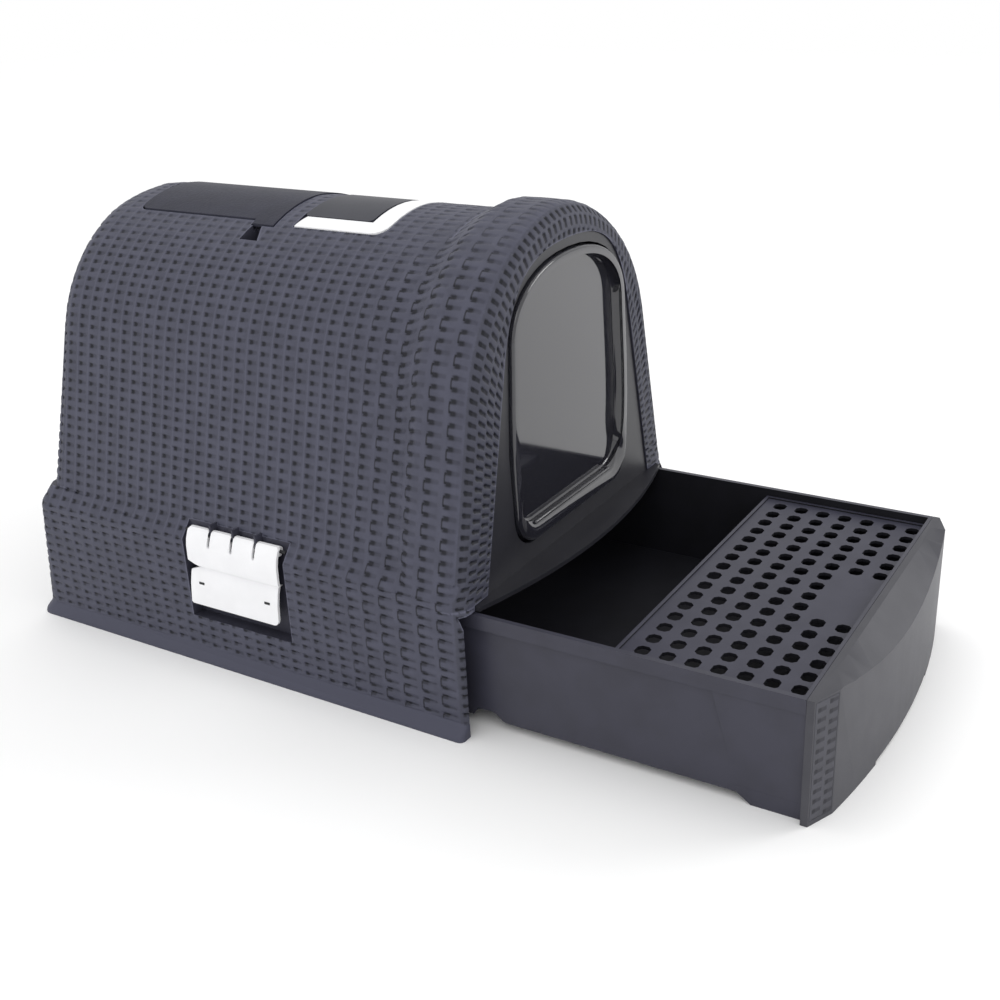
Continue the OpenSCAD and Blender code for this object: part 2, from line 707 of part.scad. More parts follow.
// ---- side clips ----
// Section of the clip on the right, seen along +Y as [outwards, up]: knuckle at the top, plate below
clip_face = clip_x + 2.5;
module side_clip() {
    y0 = clip_y - clip_w / 2;
    step = clip_w / knuckles;
    plate = [[clip_axis_x + 1, clip_axis_z + knuckle_r - 0.6], [clip_axis_x + 4, clip_axis_z + 2],
        [clip_face - 0.5, clip_axis_z - 12], [clip_face, clip_axis_z - 22], [clip_face - 1.5, clip_axis_z - 30],
        [clip_face - 1, clip_axis_z - 36], [clip_face - 0.5, clip_low + 1], [clip_face - 1.5, clip_low],
        [clip_face - 3, clip_low], [clip_face - 3.5, clip_axis_z - 34], [clip_face - 4.5, clip_axis_z - 28],
        [clip_face - 3.5, clip_axis_z - 18], [clip_axis_x - 1, clip_axis_z - knuckle_r + 0.6]];
    difference() {
        union() {
            translate([0, y0 + clip_w, 0]) rotate([90, 0, 0]) linear_extrude(clip_w) polygon(plate);
            translate([clip_axis_x, clip_y, clip_axis_z])
            rotate([90, 0, 0]) cylinder(r = knuckle_r, h = clip_w, center = true, $fn = 32);
        }
        translate([clip_axis_x, clip_y, clip_axis_z])
        rotate([90, 0, 0]) cylinder(r = clip_pin_r + run, h = clip_w + 2, center = true, $fn = 32);
        for (i = [1:knuckles - 1])
            translate([clip_floor - 5, y0 + i * step - slit_w / 2, clip_axis_z - 13]) cube([30, slit_w, 30]);
    }
}

module side_clip_right() {
    color(white_plastic) side_clip();
}

module side_clip_left() {
    color(white_plastic) mirror([1, 0, 0]) side_clip();
}

module clip_pin() {
    translate([clip_axis_x, clip_y, clip_axis_z])
    rotate([90, 0, 0]) cylinder(r = clip_pin_r, h = clip_w + 2 * clip_rim - 1, center = true, $fn = 32);
}

module clip_pin_right() {
    color(dark_grey) clip_pin();
}

module clip_pin_left() {
    color(dark_grey) mirror([1, 0, 0]) clip_pin();
}

// ---- base pan and runners ----
pan_half = skirt_w / 2 - hood_wall - gap;
runner_x = pan_half - runner_inset;
pan_y1 = rear_y + rear_draft * (1 - pan_h / skirt_h) - hood_wall - gap;
module base_pan() {
    color(dark_grey)
    difference() {
        block(pan_half, -pan_front, pan_y1, skirt_r - hood_wall - gap, 0, pan_h);
        translate([-pan_half + drawer_wall, -pan_front - 1, pan_t])
        cube([2 * (pan_half - drawer_wall), pan_y1 + pan_front + 1 - drawer_wall, pan_h]);
    }
}

module runner() {
    translate([-runner_w / 2, -pan_front + 2, pan_t]) cube([runner_w, pan_y1 + pan_front - 10, floor_z - seat - pan_t]);
}

module runner_left() {
    color(dark_grey) translate([-runner_x, 0, 0]) runner();
}

module runner_right() {
    color(dark_grey) translate([runner_x, 0, 0]) runner();
}

// ---- drawer ----
tray_y0 = -front_y - pulled + 6;
tray_y1 = -front_y - pulled + drawer_l;
drawer_lean = atan(draft / drawer_h);
rim_proud = 1.5;

// Section of the drawer across its width at rim half width h, from height z0 to z1
function across(h, z0, z1) = [[h - (drawer_h - z0) * tan(drawer_lean), z0], [h - (drawer_h - z1) * tan(drawer_lean), z1],
    [-h + (drawer_h - z1) * tan(drawer_lean), z1], [-h + (drawer_h - z0) * tan(drawer_lean), z0]];

grid_y0 = tray_y0 + drawer_wall + seat;
grid_y1 = grid_y0 + grid_l;
ledge_t = 4;
grid_top = drawer_h - grid_drop;
plate_z = grid_top - grid_border - grid_t;
module drawer_tray() {
    inside = drawer_half - rim_proud - drawer_wall;
    color(drawer_grey)
    difference() {
        union() {
            difference() {
                union() {
                    carried(tray_y0, tray_y1, across(drawer_half - rim_proud, hem_z, drawer_h));
                    carried(tray_y0, tray_y1, across(drawer_half, drawer_h - band_h, drawer_h));
                    // front feet
                    for (side = [0, 1]) mirror([side, 0, 0])
                    translate([inside - draft - 1, 0, 0])
                    rotate([90, 0, 90]) linear_extrude(drawer_wall + rim_proud + 0.2)
                    polygon([[tray_y0, 0], [tray_y0 + foot_l - 4, 0], [tray_y0 + foot_l + 6, hem_z - 1],
                        [tray_y0 + foot_l + 12, hem_z + 6], [tray_y0, hem_z + 6]]);
                }
                // inside above the floor, and the hollow below it
                carried(tray_y0 + drawer_wall, tray_y1 - drawer_wall,
                    across(inside, floor_z + drawer_wall, drawer_h + 1));
                carried(tray_y0 + drawer_wall, tray_y1 + 1, across(inside, -1, floor_z));
            }
            // ledges that carry the grid
            for (side = [0, 1]) mirror([side, 0, 0])
            translate([inside - draft - 3, tray_y0 + 1, plate_z - seat - 4])
            cube([draft + 5, grid_l + 2, 4]);
        }
        // arch in the lower edge of each side near the hood
        translate([-drawer_half - 5, 0, 0])
        rotate([90, 0, 90]) linear_extrude(2 * drawer_half + 10)
        polygon([[-front_y - 24, hem_z - 1], [-front_y - 19, hem_z + 1], [-front_y - 13, floor_z - 1.5],
            [-front_y - 8, floor_z - 0.3], [-front_y + 4, floor_z - 1], [-front_y + 10, hem_z - 1]]);
        // shallow panel sunk into each side
        for (side = [0, 1]) mirror([side, 0, 0])
        translate([drawer_half - rim_proud - 0.8 - draft / 2, 0, 0])
        rotate([90, 0, 90]) linear_extrude(10)
        polygon([[tray_y0 + foot_l + 8, hem_z + 8], [tray_y1 + 1, hem_z + 8],
            [tray_y1 + 1, drawer_h - band_h], [tray_y0 + foot_l + 28, drawer_h - band_h]]);
    }
}

// Plan of the drawer's front seen from above: face bowed b more, between slanting corners, shrunk by i
front_corner_y = -front_y - pulled;
face_half = drawer_half - strip_l;
face_y = front_corner_y - 11;
function face_plan(i, b) = concat(
    [[drawer_half - i, tray_y0 - seat], [drawer_half - i, front_corner_y + i]],
    [[face_half - i * 0.6, face_y + i * 1.2]],
    [for (p = [for (k = [15:-1:1]) bowed(face_half, face_y, bow - 11 + b, 16)[k]]) [p[0], p[1] + i]],
    [[-face_half + i * 0.6, face_y + i * 1.2]],
    [[-drawer_half + i, front_corner_y + i], [-drawer_half + i, tray_y0 - seat]]);

// Wedge that slopes the top of the front down to the middle of the bowed face
scoop_h = 19;
module front_scoop() {
    n = 12;
    sections = [for (k = [0:n]) let(
        x = -face_half + 2 * face_half * k / n,
        s = 1 - pow(x / face_half, 2),
        y = face_y - (bow - 11) * s)
        [[x, front_corner_y, drawer_h + 1], [x, y - 4, drawer_h + 1], [x, y - 4, drawer_h + 0.1 - scoop_h * s * 1.15],
        [x, front_corner_y, drawer_h + 0.1]]];
    points = [for (s = sections) for (p = s) p];
    sides = [for (k = [0:n - 1]) for (j = [0:3]) let(a = 4 * k + j, b = 4 * k + (j + 1) % 4)
        for (t = [0, 1]) t == 0 ? [a, b + 4, b] : [a, a + 4, b + 4]];
    polyhedron(points, concat([[0, 1, 2, 3]], sides, [[4 * n + 3, 4 * n + 2, 4 * n + 1, 4 * n]]));
}

module drawer_front() {
    color(drawer_grey)
    difference() {
        loft([flat(0, face_plan(0, foot_bow)), flat(drawer_h, face_plan(0, 0))]);
        // hollow from below
        translate([0, 0, -1]) linear_extrude(drawer_h - scoop_h - 5) polygon(face_plan(drawer_wall, 0));
        front_scoop();
        // relief under the middle of the face
        translate([-face_half / 2, face_y - 60, -1]) cube([face_half, 100, 4]);
        // seats of the corner strips
        for (side = [0, 1]) mirror([side, 0, 0]) strip_block(1.6, 4, drawer_h - 2);
    }
}

// Block along a slanting front corner, sunk t into it, from height z0 to z1
strip_turn = atan((front_corner_y - face_y) / strip_l);
module strip_block(t, z0, z1) {
    translate([face_half, face_y, z0])
    rotate([0, 0, strip_turn])
    translate([1.5, -4, 0])
    cube([strip_l / cos(strip_turn) - 3, 4 + t, z1 - z0]);
}

module corner_strip() {
    translate([face_half, face_y, 4 + seat])
    rotate([0, 0, strip_turn])
    translate([1.5 + seat, 0, 0])
    cube([strip_l / cos(strip_turn) - 3 - 2 * seat, 1.6 - 0.2, drawer_h - 6 - 2 * seat]);
}

module corner_strip_left() {
    color(anthracite) mirror([1, 0, 0]) corner_strip();
}

module corner_strip_right() {
    color(anthracite) corner_strip();
}

// ---- step grid ----
grid_half = drawer_half - rim_proud - drawer_wall - grid_drop * tan(drawer_lean) - gap;
columns = floor((2 * grid_half - 14 - hole_w) / hole_pitch_x) + 1;
rows = floor((grid_l - 8 - hole_l) / hole_pitch_y) + 1;
plate_cols = 4;
function hole(w, l) = let(a = w / 2, b = l / 2, c = 3)
    [[a - c, -b], [a, -b + c], [a, b - c], [a - c, b], [-a + c, b], [-a, b - c], [-a, -b + c], [-a + c, -b]];

module step_grid() {
    first_y = grid_y1 - grid_edge - hole_l / 2;
    color(grid_grey)
    difference() {
        union() {
            translate([-grid_half, grid_y0, plate_z]) cube([2 * grid_half, grid_l, grid_t]);
            difference() {
                translate([-grid_half, grid_y0, plate_z + eps]) cube([2 * grid_half, grid_l, grid_t + grid_border]);
                translate([-grid_half + 3, grid_y0 + 3, 0]) cube([2 * grid_half - 6, grid_l - 6, 200]);
            }
        }
        translate([0, 0, plate_z - 1])
        linear_extrude(grid_t + 2)
        for (i = [0:columns - 1]) for (j = [0:rows - 1]) let(
            x = (i - (columns - 1) / 2) * hole_pitch_x,
            y = first_y - j * hole_pitch_y)
            if (j < rows - 2 || abs(x) > plate_cols / 2 * hole_pitch_x)
                translate([x, y]) polygon(hole(hole_w, hole_l));
    }
}

base_pan();
runner_left();
runner_right();
hood_shell();
front_frame();
door_flap();
door_pins();
handle_plate();
carry_handle();
handle_pins();
storage_bin();
hatch_lid();
hatch_pin();
side_clip_left();
side_clip_right();
clip_pin_left();
clip_pin_right();
drawer_tray();
drawer_front();
corner_strip_left();
corner_strip_right();
step_grid();
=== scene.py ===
"""Looks of a hooded litter box: woven-look hood, smoked swing door, pull-out drawer with a step grid.

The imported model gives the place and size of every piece. Each class dresses one sub-assembly, and a finish is a
small frozen dataclass that builds its own material. Lengths are in metres and angles in degrees.
"""

from __future__ import annotations

import json
import logging
import math
from dataclasses import dataclass, field
from enum import Enum
from typing import Callable, Sequence

import bmesh
import bpy
import numpy as np
from mathutils import Matrix, Vector
from mathutils.bvhtree import BVHTree

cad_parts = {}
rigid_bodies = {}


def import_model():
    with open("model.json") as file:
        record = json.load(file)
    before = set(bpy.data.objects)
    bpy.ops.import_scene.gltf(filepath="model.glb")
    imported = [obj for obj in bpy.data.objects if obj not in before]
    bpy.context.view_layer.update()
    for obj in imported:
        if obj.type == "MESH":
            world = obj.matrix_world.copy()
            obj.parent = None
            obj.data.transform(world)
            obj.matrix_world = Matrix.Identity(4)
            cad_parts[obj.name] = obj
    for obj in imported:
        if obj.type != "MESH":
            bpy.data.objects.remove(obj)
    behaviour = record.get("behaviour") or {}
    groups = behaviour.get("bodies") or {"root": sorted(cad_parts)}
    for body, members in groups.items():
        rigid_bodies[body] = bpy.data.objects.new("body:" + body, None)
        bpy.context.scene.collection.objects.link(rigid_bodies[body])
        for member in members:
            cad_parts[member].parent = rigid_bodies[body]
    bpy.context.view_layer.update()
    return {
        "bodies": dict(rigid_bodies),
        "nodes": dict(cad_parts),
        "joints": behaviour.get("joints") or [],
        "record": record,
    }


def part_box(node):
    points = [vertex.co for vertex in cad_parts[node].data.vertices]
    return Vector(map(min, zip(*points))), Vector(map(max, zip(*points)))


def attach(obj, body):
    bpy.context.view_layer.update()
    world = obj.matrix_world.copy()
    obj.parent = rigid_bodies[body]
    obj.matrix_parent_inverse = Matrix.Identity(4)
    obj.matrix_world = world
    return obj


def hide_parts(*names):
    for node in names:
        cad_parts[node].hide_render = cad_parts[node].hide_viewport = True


LOG = logging.getLogger("litter_box")
MM = 0.001
WELD = 1e-5  # how near split corners lie, in metres
FLAT = 0.6  # degrees between two faces, below which they are parts of one flat face
TINY = 1e-12  # keeps a division away from zero
NEAR_LONGEST = 0.8  # share of a triangle's longest side, above which a side is halved with it
CREASE = 32.0  # degrees between two faces, above which their edge is an edge of the moulding

# The weave's coordinates and marks, which the hood's mesh carries at its points.
WEAVE_MAP = "weave"
WOVEN = "woven"
WIDE = "wide"
LOW = "low"
STRIP = "strip"
# Marks where a highlight is painted along the hood's edges.
RIM_HIGHLIGHT = "rim"


# ---------------------------------------------------------------------------
# Shader arithmetic
# ---------------------------------------------------------------------------


def linear(hex_colour: str) -> tuple[float, float, float, float]:
    """Turn a written colour into the linear one that shaders use.

    Args:
        hex_colour: Six hexadecimal digits, red first.

    Returns:
        Linear red, green, blue and an alpha of one.
    """
    parts = [int(hex_colour[i : i + 2], 16) / 255 for i in (0, 2, 4)]
    return tuple(c / 12.92 if c <= 0.04045 else ((c + 0.055) / 1.055) ** 2.4 for c in parts) + (1.0,)


class Sock:
    """A node's output that takes part in arithmetic and adds the Math nodes it needs."""

    def __init__(self, tree: "Tree", socket: bpy.types.NodeSocket) -> None:
        """Keep the socket together with its tree."""
        self.tree = tree
        self.socket = socket

    def _math(self, operation: str, *values: "Sock | float") -> "Sock":
        """Add one Math node."""
        return self.tree.node("ShaderNodeMath", {"operation": operation}, dict(enumerate(values)))

    def __add__(self, other: "Sock | float") -> "Sock":
        """Sum."""
        return self._math("ADD", self, other)

    __radd__ = __add__

    def __sub__(self, other: "Sock | float") -> "Sock":
        """Difference."""
        return self._math("SUBTRACT", self, other)

    def __rsub__(self, other: float) -> "Sock":
        """Difference from a number."""
        return self._math("SUBTRACT", other, self)

    def __mul__(self, other: "Sock | float") -> "Sock":
        """Product."""
        return self._math("MULTIPLY", self, other)

    __rmul__ = __mul__

    def __truediv__(self, other: "Sock | float") -> "Sock":
        """Quotient."""
        return self._math("DIVIDE", self, other)

    def fract(self) -> "Sock":
        """Part after the decimal point."""
        return self._math("FRACT", self)

    def floor(self) -> "Sock":
        """Whole part."""
        return self._math("FLOOR", self)

    def distance(self, middle: float) -> "Sock":
        """How far the value is from a middle."""
        return self._math("ABSOLUTE", self - middle)

    def odd(self) -> "Sock":
        """One for odd whole numbers, else zero."""
        return self._math("MODULO", self._math("ABSOLUTE", self), 2.0)

    def step(self, low: float, high: float) -> "Sock":
        """Smooth rise from zero at low to one at high, or a fall where low is above high."""
        rising = low < high
        settings = {"interpolation_type": "SMOOTHSTEP"}
        ends = (0.0, 1.0) if rising else (1.0, 0.0)
        bounds = (low, high) if rising else (high, low)
        values = {0: self, 1: bounds[0], 2: bounds[1], 3: ends[0], 4: ends[1]}
        return self.tree.node("ShaderNodeMapRange", settings, values)

    def least(self, other: "Sock | float") -> "Sock":
        """The smaller of two values."""
        return self._math("MINIMUM", self, other)


class Tree:
    """A material's node tree around one Principled shader."""

    def __init__(self, name: str) -> None:
        """Make the material, its shader and its output."""
        self.material = bpy.data.materials.new(name)
        self.material.use_nodes = True
        self.links = self.material.node_tree.links
        self.nodes = self.material.node_tree.nodes
        self.nodes.clear()
        self.shader = self.nodes.new("ShaderNodeBsdfPrincipled")
        surface = self.nodes.new("ShaderNodeOutputMaterial")
        self.links.new(self.shader.outputs[0], surface.inputs[0])

    def node(
        self,
        kind: str,
        settings: dict[str, object] | None = None,
        values: dict[int | str, object] | None = None,
        output: int | str = 0,
    ) -> Sock:
        """Add a node.

        Args:
            kind: The node's type.
            settings: Properties to set before its sockets are filled.
            values: A number, a colour or another socket for each named or numbered input.
            output: The output to return.

        Returns:
            The chosen output.
        """
        made = self.nodes.new(kind)
        for name, value in (settings or {}).items():
            setattr(made, name, value)
        for key, value in (values or {}).items():
            self.fill(made.inputs[key], value)
        return Sock(self, made.outputs[output])

    def fill(self, socket: bpy.types.NodeSocket, value: object) -> None:
        """Link a socket, or set its own value."""
        if isinstance(value, Sock):
            self.links.new(value.socket, socket)
        else:
            socket.default_value = value

    def mix(self, factor: Sock | float, first: object, second: object) -> Sock:
        """Blend two colours by a factor."""
        settings = {"data_type": "RGBA"}
        return self.node("ShaderNodeMix", settings, {0: factor, 6: first, 7: second}, output=2)

    def noise(self, size: float, detail: float = 2.0) -> Sock:
        """Noise with blotches of a given size in metres, laid in object space."""
        place = self.node("ShaderNodeTexCoord", output="Object")
        return self.node("ShaderNodeTexNoise", None, {"Vector": place, "Scale": 1 / size, "Detail": detail})

    def bump(self, height: Sock, depth: float) -> None:
        """Feed a bump from a height of zero to one, with its depth in metres, to the shader."""
        values = {"Height": height, "Distance": depth, "Strength": 1.0}
        self.fill(self.shader.inputs["Normal"], self.node("ShaderNodeBump", None, values))

    def attribute(self, name: str) -> Sock:
        """A number that the mesh carries at its points."""
        return self.node("ShaderNodeAttribute", {"attribute_name": name}, output="Fac")

    def axes(self, place: Sock) -> tuple[Sock, Sock, Sock]:
        """The three numbers of a vector."""
        return tuple(self.node("ShaderNodeSeparateXYZ", None, {0: place}, output=k) for k in range(3))

    def set(self, **values: object) -> None:
        """Fill the shader's inputs, with underscores in place of spaces."""
        for name, value in values.items():
            self.fill(self.shader.inputs[name.replace("_", " ")], value)


# ---------------------------------------------------------------------------
# Finishes
# ---------------------------------------------------------------------------


class Finish(str, Enum):
    """The finishes on the box."""

    WOVEN = "woven_plastic"
    WOVEN_STRIP = "woven_strip_plastic"
    INNER = "inner_plastic"
    FRAME = "frame_plastic"
    PAD = "pad_plastic"
    DRAWER = "drawer_plastic"
    DRAWER_FRONT = "drawer_front_plastic"
    # Painted shade inside the tray and the grid's holes.
    INSIDE_SHADE = "painted_inside_shade"
    GRID = "grid_plastic"
    HATCH = "hatch_plastic"
    DARK = "dark_plastic"
    WHITE = "white_plastic"
    SMOKED = "smoked_plastic"


UNEVEN = (0.3, 0.7)  # the noise's level where a colour's shade starts, and where it is full


@dataclass(frozen=True)
class MouldedPlastic:
    """Plain moulded plastic with a fine grain and a faint unevenness of colour."""

    colour: str
    shade: str
    roughness: float = 0.45
    specular: float = 0.35
    grain: float = 0.6 * MM
    grain_depth: float = 0.03 * MM
    grain_shine: float = 0.12
    blotch: float = 26 * MM

    def material(self, name: str) -> bpy.types.Material:
        """Build the material."""
        tree = Tree(name)
        blotch = tree.noise(self.blotch, 3.0)
        grain = tree.noise(self.grain, 2.0)
        tree.set(Base_Color=tree.mix(blotch.step(*UNEVEN), linear(self.colour), linear(self.shade)))
        tree.set(Roughness=self.roughness + (grain - 0.5) * self.grain_shine, Specular_IOR_Level=self.specular)
        tree.bump(grain, self.grain_depth)
        return tree.material


@dataclass(frozen=True)
class WovenPlastic:
    """Moulded weave: strands with painted shade in the dimples where they cross, laid by the weave map.

    A pair of numbers is where a mark starts and where it is full, in columns across or rows along.
    """

    strand: str = "4A4B5A"
    strand_shade: str = "434452"
    # Painted shade: the arch's front strip is darker, as its deep weave shades it.
    arch: str = "3A3B46"
    # Painted highlight along the edges of the columns.
    ridge_highlight: str = "565767"
    # Painted shade in the dimples where the strands cross.
    shaded_hollow: str = "14151D"
    border: str = "474857"
    # Painted highlight along the edges of the outer faces.
    edge: str = "5E5F70"
    roughness: float = 0.5
    specular: float = 0.3
    blotch: float = 14 * MM
    grain: float = 0.9 * MM
    grain_shine: float = 0.1
    grain_height: float = 0.12
    depth: float = 0.45 * MM
    arch_shade_share: float = 0.6
    ridge_highlight_share: float = 0.5
    edge_highlight_share: float = 0.8
    ridge_side: tuple[float, float] = (0.42, 0.49)
    dash_start: tuple[float, float] = (0.10, 0.24)
    dash_end: tuple[float, float] = (0.94, 0.80)
    dash_side: tuple[float, float] = (0.22, 0.40)
    brick_shift: float = 0.06
    tail: tuple[float, float] = (0.70, 0.40)
    tail_fade: float = 0.55
    short_fade: float = 0.7
    end_middle: float = 0.72
    end_reach: tuple[float, float] = (0.20, 0.07)
    end_side: tuple[float, float] = (0.16, 0.36)
    line_middle: float = 0.885
    line_reach: tuple[float, float] = (0.06, 0.02)
    # How dark the painted shade and the painted shadows are: on the dash, on the arch's front, on the skirt, at a
    # strand's end and along its edge.
    dash_shade: float = 0.52
    brick_shade: float = 0.33
    skirt_shade: float = 0.3
    end_shadow: float = 0.42
    line_shadow: float = 0.75

    def material(self, name: str) -> bpy.types.Material:
        """Build the material."""
        tree = Tree(name)
        across, along, wide, low, strip, woven, rim = self.weave_map(tree)
        # Mask of the painted shade in the dimples, which also sets the bump.
        shaded_hollow = (self.shaded_hollows(across, along, wide, low, strip) * woven).least(1.0)
        blotch = tree.noise(self.blotch, 2.0)
        strand = tree.mix(blotch.step(*UNEVEN), linear(self.strand), linear(self.strand_shade))
        # Painted highlight along the column edges, away from the skirt, the arch's front and the wide weave.
        ridge_highlight = across.fract().distance(0.5).step(*self.ridge_side) * (1 - wide) * (1 - low) * (1 - strip)
        strand = tree.mix(ridge_highlight * self.ridge_highlight_share, strand, linear(self.ridge_highlight))
        # Painted shade over the arch's front strip.
        strand = tree.mix(strip * self.arch_shade_share, strand, linear(self.arch))
        face = tree.mix(woven.step(0.0, 0.6), linear(self.border), strand)
        # Painted highlight where the outer faces end at an edge.
        face = tree.mix(rim.step(0.1, 0.9) * self.edge_highlight_share, face, linear(self.edge))
        grain = tree.noise(self.grain, 3.0)
        tree.set(Base_Color=tree.mix(shaded_hollow, face, linear(self.shaded_hollow)))
        tree.set(Roughness=self.roughness + grain * self.grain_shine, Specular_IOR_Level=self.specular)
        tree.bump((1 - shaded_hollow) + grain * self.grain_height, self.depth)
        return tree.material

    def weave_map(self, tree: Tree) -> tuple[Sock, ...]:
        """Column and row coordinates, the kinds of weave and the mask of the painted edge highlight, which the mesh
        carries at its points.
        """
        across, along, _ = tree.axes(tree.node("ShaderNodeUVMap", {"uv_map": WEAVE_MAP}))
        return (across, along) + tuple(tree.attribute(name) for name in (WIDE, LOW, STRIP, WOVEN, RIM_HIGHLIGHT))

    def shaded_hollows(self, across: Sock, along: Sock, wide: Sock, low: Sock, strip: Sock) -> Sock:
        """Where painted shade darkens the weave: in the dimples, with a painted shadow at each strand's end.

        Args:
            across: Column coordinate, one unit a column.
            along: Row coordinate, one unit a strand.
            wide: One where the columns are wide and each second strand shows its end.
            low: One on the skirt, where each second dimple is short.
            strip: One on the arch's front, where the columns are laid like bricks.

        Returns:
            Near one where the painted shade is full and zero on a strand.
        """
        column = across.floor()
        shifted = along + column.odd() * strip * 0.5
        u, away = across.fract(), shifted.fract().distance(0.5)
        over = (column + shifted.floor()).odd()
        moved = u + self.brick_shift * strip
        band = moved.step(*self.dash_start) * moved.step(*self.dash_end) * away.step(*self.dash_side)
        tail = 1 - self.tail_fade * u.step(*self.tail) * (1 - strip)
        short = 1 - self.short_fade * (low * over)
        # The painted shade is deeper on the arch's front and on the skirt.
        dark = self.dash_shade + self.brick_shade * strip + self.skirt_shade * low
        # Painted shadow at each strand's end and along the edge where a strand comes out.
        end = u.distance(self.end_middle).step(*self.end_reach) * away.step(*self.end_side)
        line = u.distance(self.line_middle).step(*self.line_reach) * over * wide
        return band * tail * short * dark + end * self.end_shadow + line * self.line_shadow


@dataclass(frozen=True)
class WovenStrip(WovenPlastic):
    """The same weave on the drawer's corner strips, laid by their own place and size."""

    strand: str = "4B4B53"
    strand_shade: str = "434349"
    # A little of the arch front's painted shade lies on the strips.
    arch: str = "47474E"
    # Painted shade in the strips' dimples.
    shaded_hollow: str = "28282F"
    node: str = "corner_strip_right"
    columns: int = 2
    row: float = 8.6 * MM
    first_column: float = 20.0
    first_row: float = 20.25
    brick: float = 0.8

    def weave_map(self, tree: Tree) -> tuple[Sock, ...]:
        """Column and row coordinates worked out from the strip's own box, and one kind of weave throughout."""
        low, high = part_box(self.node)
        x, _, z = tree.axes(tree.node("ShaderNodeTexCoord", output="Object"))
        across = (x.distance(0.0) - low.x) / ((high.x - low.x) / self.columns) + self.first_column
        zero = z * 0
        return across, z / self.row + self.first_row, zero, zero, zero + self.brick, zero + 1.0, zero


@dataclass(frozen=True)
class SmokedPlastic:
    """Clear grey door plastic that lets a share of the light through and shines."""

    colour: str = "26262D"
    density: float = 0.88
    density_spread: float = 0.02
    roughness: float = 0.05
    roughness_spread: float = 0.03
    haze: float = 60 * MM
    index: float = 1.66
    coat: float = 0.4
    coat_roughness: float = 0.03

    def material(self, name: str) -> bpy.types.Material:
        """Build the material."""
        tree = Tree(name)
        haze = tree.noise(self.haze, 1.0)
        tree.set(Base_Color=linear(self.colour), Roughness=self.roughness + haze * self.roughness_spread)
        tree.set(Alpha=self.density + (haze - 0.5) * self.density_spread, IOR=self.index)
        tree.set(Coat_Weight=self.coat, Coat_Roughness=self.coat_roughness)
        return tree.material


@dataclass(frozen=True)
class StudioPaper:
    """The pale floor, which shows white and keeps a soft shadow."""

    colour: str = "FFFFFF"
    roughness: float = 1.0

    def material(self, name: str) -> bpy.types.Material:
        """Build the material."""
        tree = Tree(name)
        tree.set(Base_Color=linear(self.colour), Roughness=self.roughness, Specular_IOR_Level=0.0)
        return tree.material


# ---------------------------------------------------------------------------
# Meshes
# ---------------------------------------------------------------------------


def welded(node: bpy.types.Object, whole: bool = True) -> bmesh.types.BMesh:
    """A CAD node's mesh with its split corners joined again.

    Args:
        node: The CAD node's object.
        whole: Whether its flat faces are made whole again too.

    Returns:
        A new bmesh, which the caller frees.
    """
    bm = bmesh.new()
    bm.from_mesh(node.data)
    bmesh.ops.remove_doubles(bm, verts=bm.verts, dist=WELD)
    if whole:
        bmesh.ops.dissolve_limit(bm, angle_limit=math.radians(FLAT), verts=bm.verts, edges=bm.edges)
    return bm


def add_roll(bm: bmesh.types.BMesh, middle: Vector, about: str, radius: float, length: float) -> None:
    """Add a round knuckle to a mesh, with its axis laid over by a quarter turn about X or Y."""
    place = Matrix.Translation(middle) @ Matrix.Rotation(math.radians(90), 4, about)
    bmesh.ops.create_cone(bm, cap_ends=True, segments=28, radius1=radius, radius2=radius, depth=length, matrix=place)


def finish_piece(
    mesh: bpy.types.Mesh,
    name: str,
    body: str,
    materials: Sequence[bpy.types.Material],
    replaces: str,
    sharp: float = CREASE,
    kinds: Sequence[int] | None = None,
) -> bpy.types.Object:
    """Put a mesh in the scene as a piece of the object.

    Args:
        mesh: The piece's mesh, in the row frame.
        name: The piece's name.
        body: The CAD body that carries it.
        materials: Its finishes.
        replaces: The CAD node that it stands for.
        sharp: The angle in degrees above which an edge stays crisp.
        kinds: The number of each face's finish, where there is more than one.

    Returns:
        The new object.
    """
    piece = bpy.data.objects.new(name, mesh)
    bpy.context.scene.collection.objects.link(piece)
    mesh.materials.clear()
    for material in materials:
        mesh.materials.append(material)
    if kinds is not None:
        mesh.polygons.foreach_set("material_index", list(kinds))
    mesh.polygons.foreach_set("use_smooth", [True] * len(mesh.polygons))
    mesh.set_sharp_from_angle(angle=math.radians(sharp))
    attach(piece, body)
    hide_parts(replaces)
    LOG.info("%s rides on %s, %d faces", name, body, len(mesh.polygons))
    return piece


def soften(piece: bpy.types.Object, width: float) -> None:
    """Round a piece's edges as a mould does.

    Args:
        piece: The piece.
        width: How far the rounding reaches from an edge, in metres.
    """
    bevel = piece.modifiers.new("edges", "BEVEL")
    bevel.width = width
    bevel.segments = 3
    bevel.limit_method = "ANGLE"
    bevel.angle_limit = math.radians(CREASE)
    bevel.miter_outer = "MITER_ARC"
    flat = piece.modifiers.new("flat_faces", "WEIGHTED_NORMAL")
    flat.keep_sharp = True


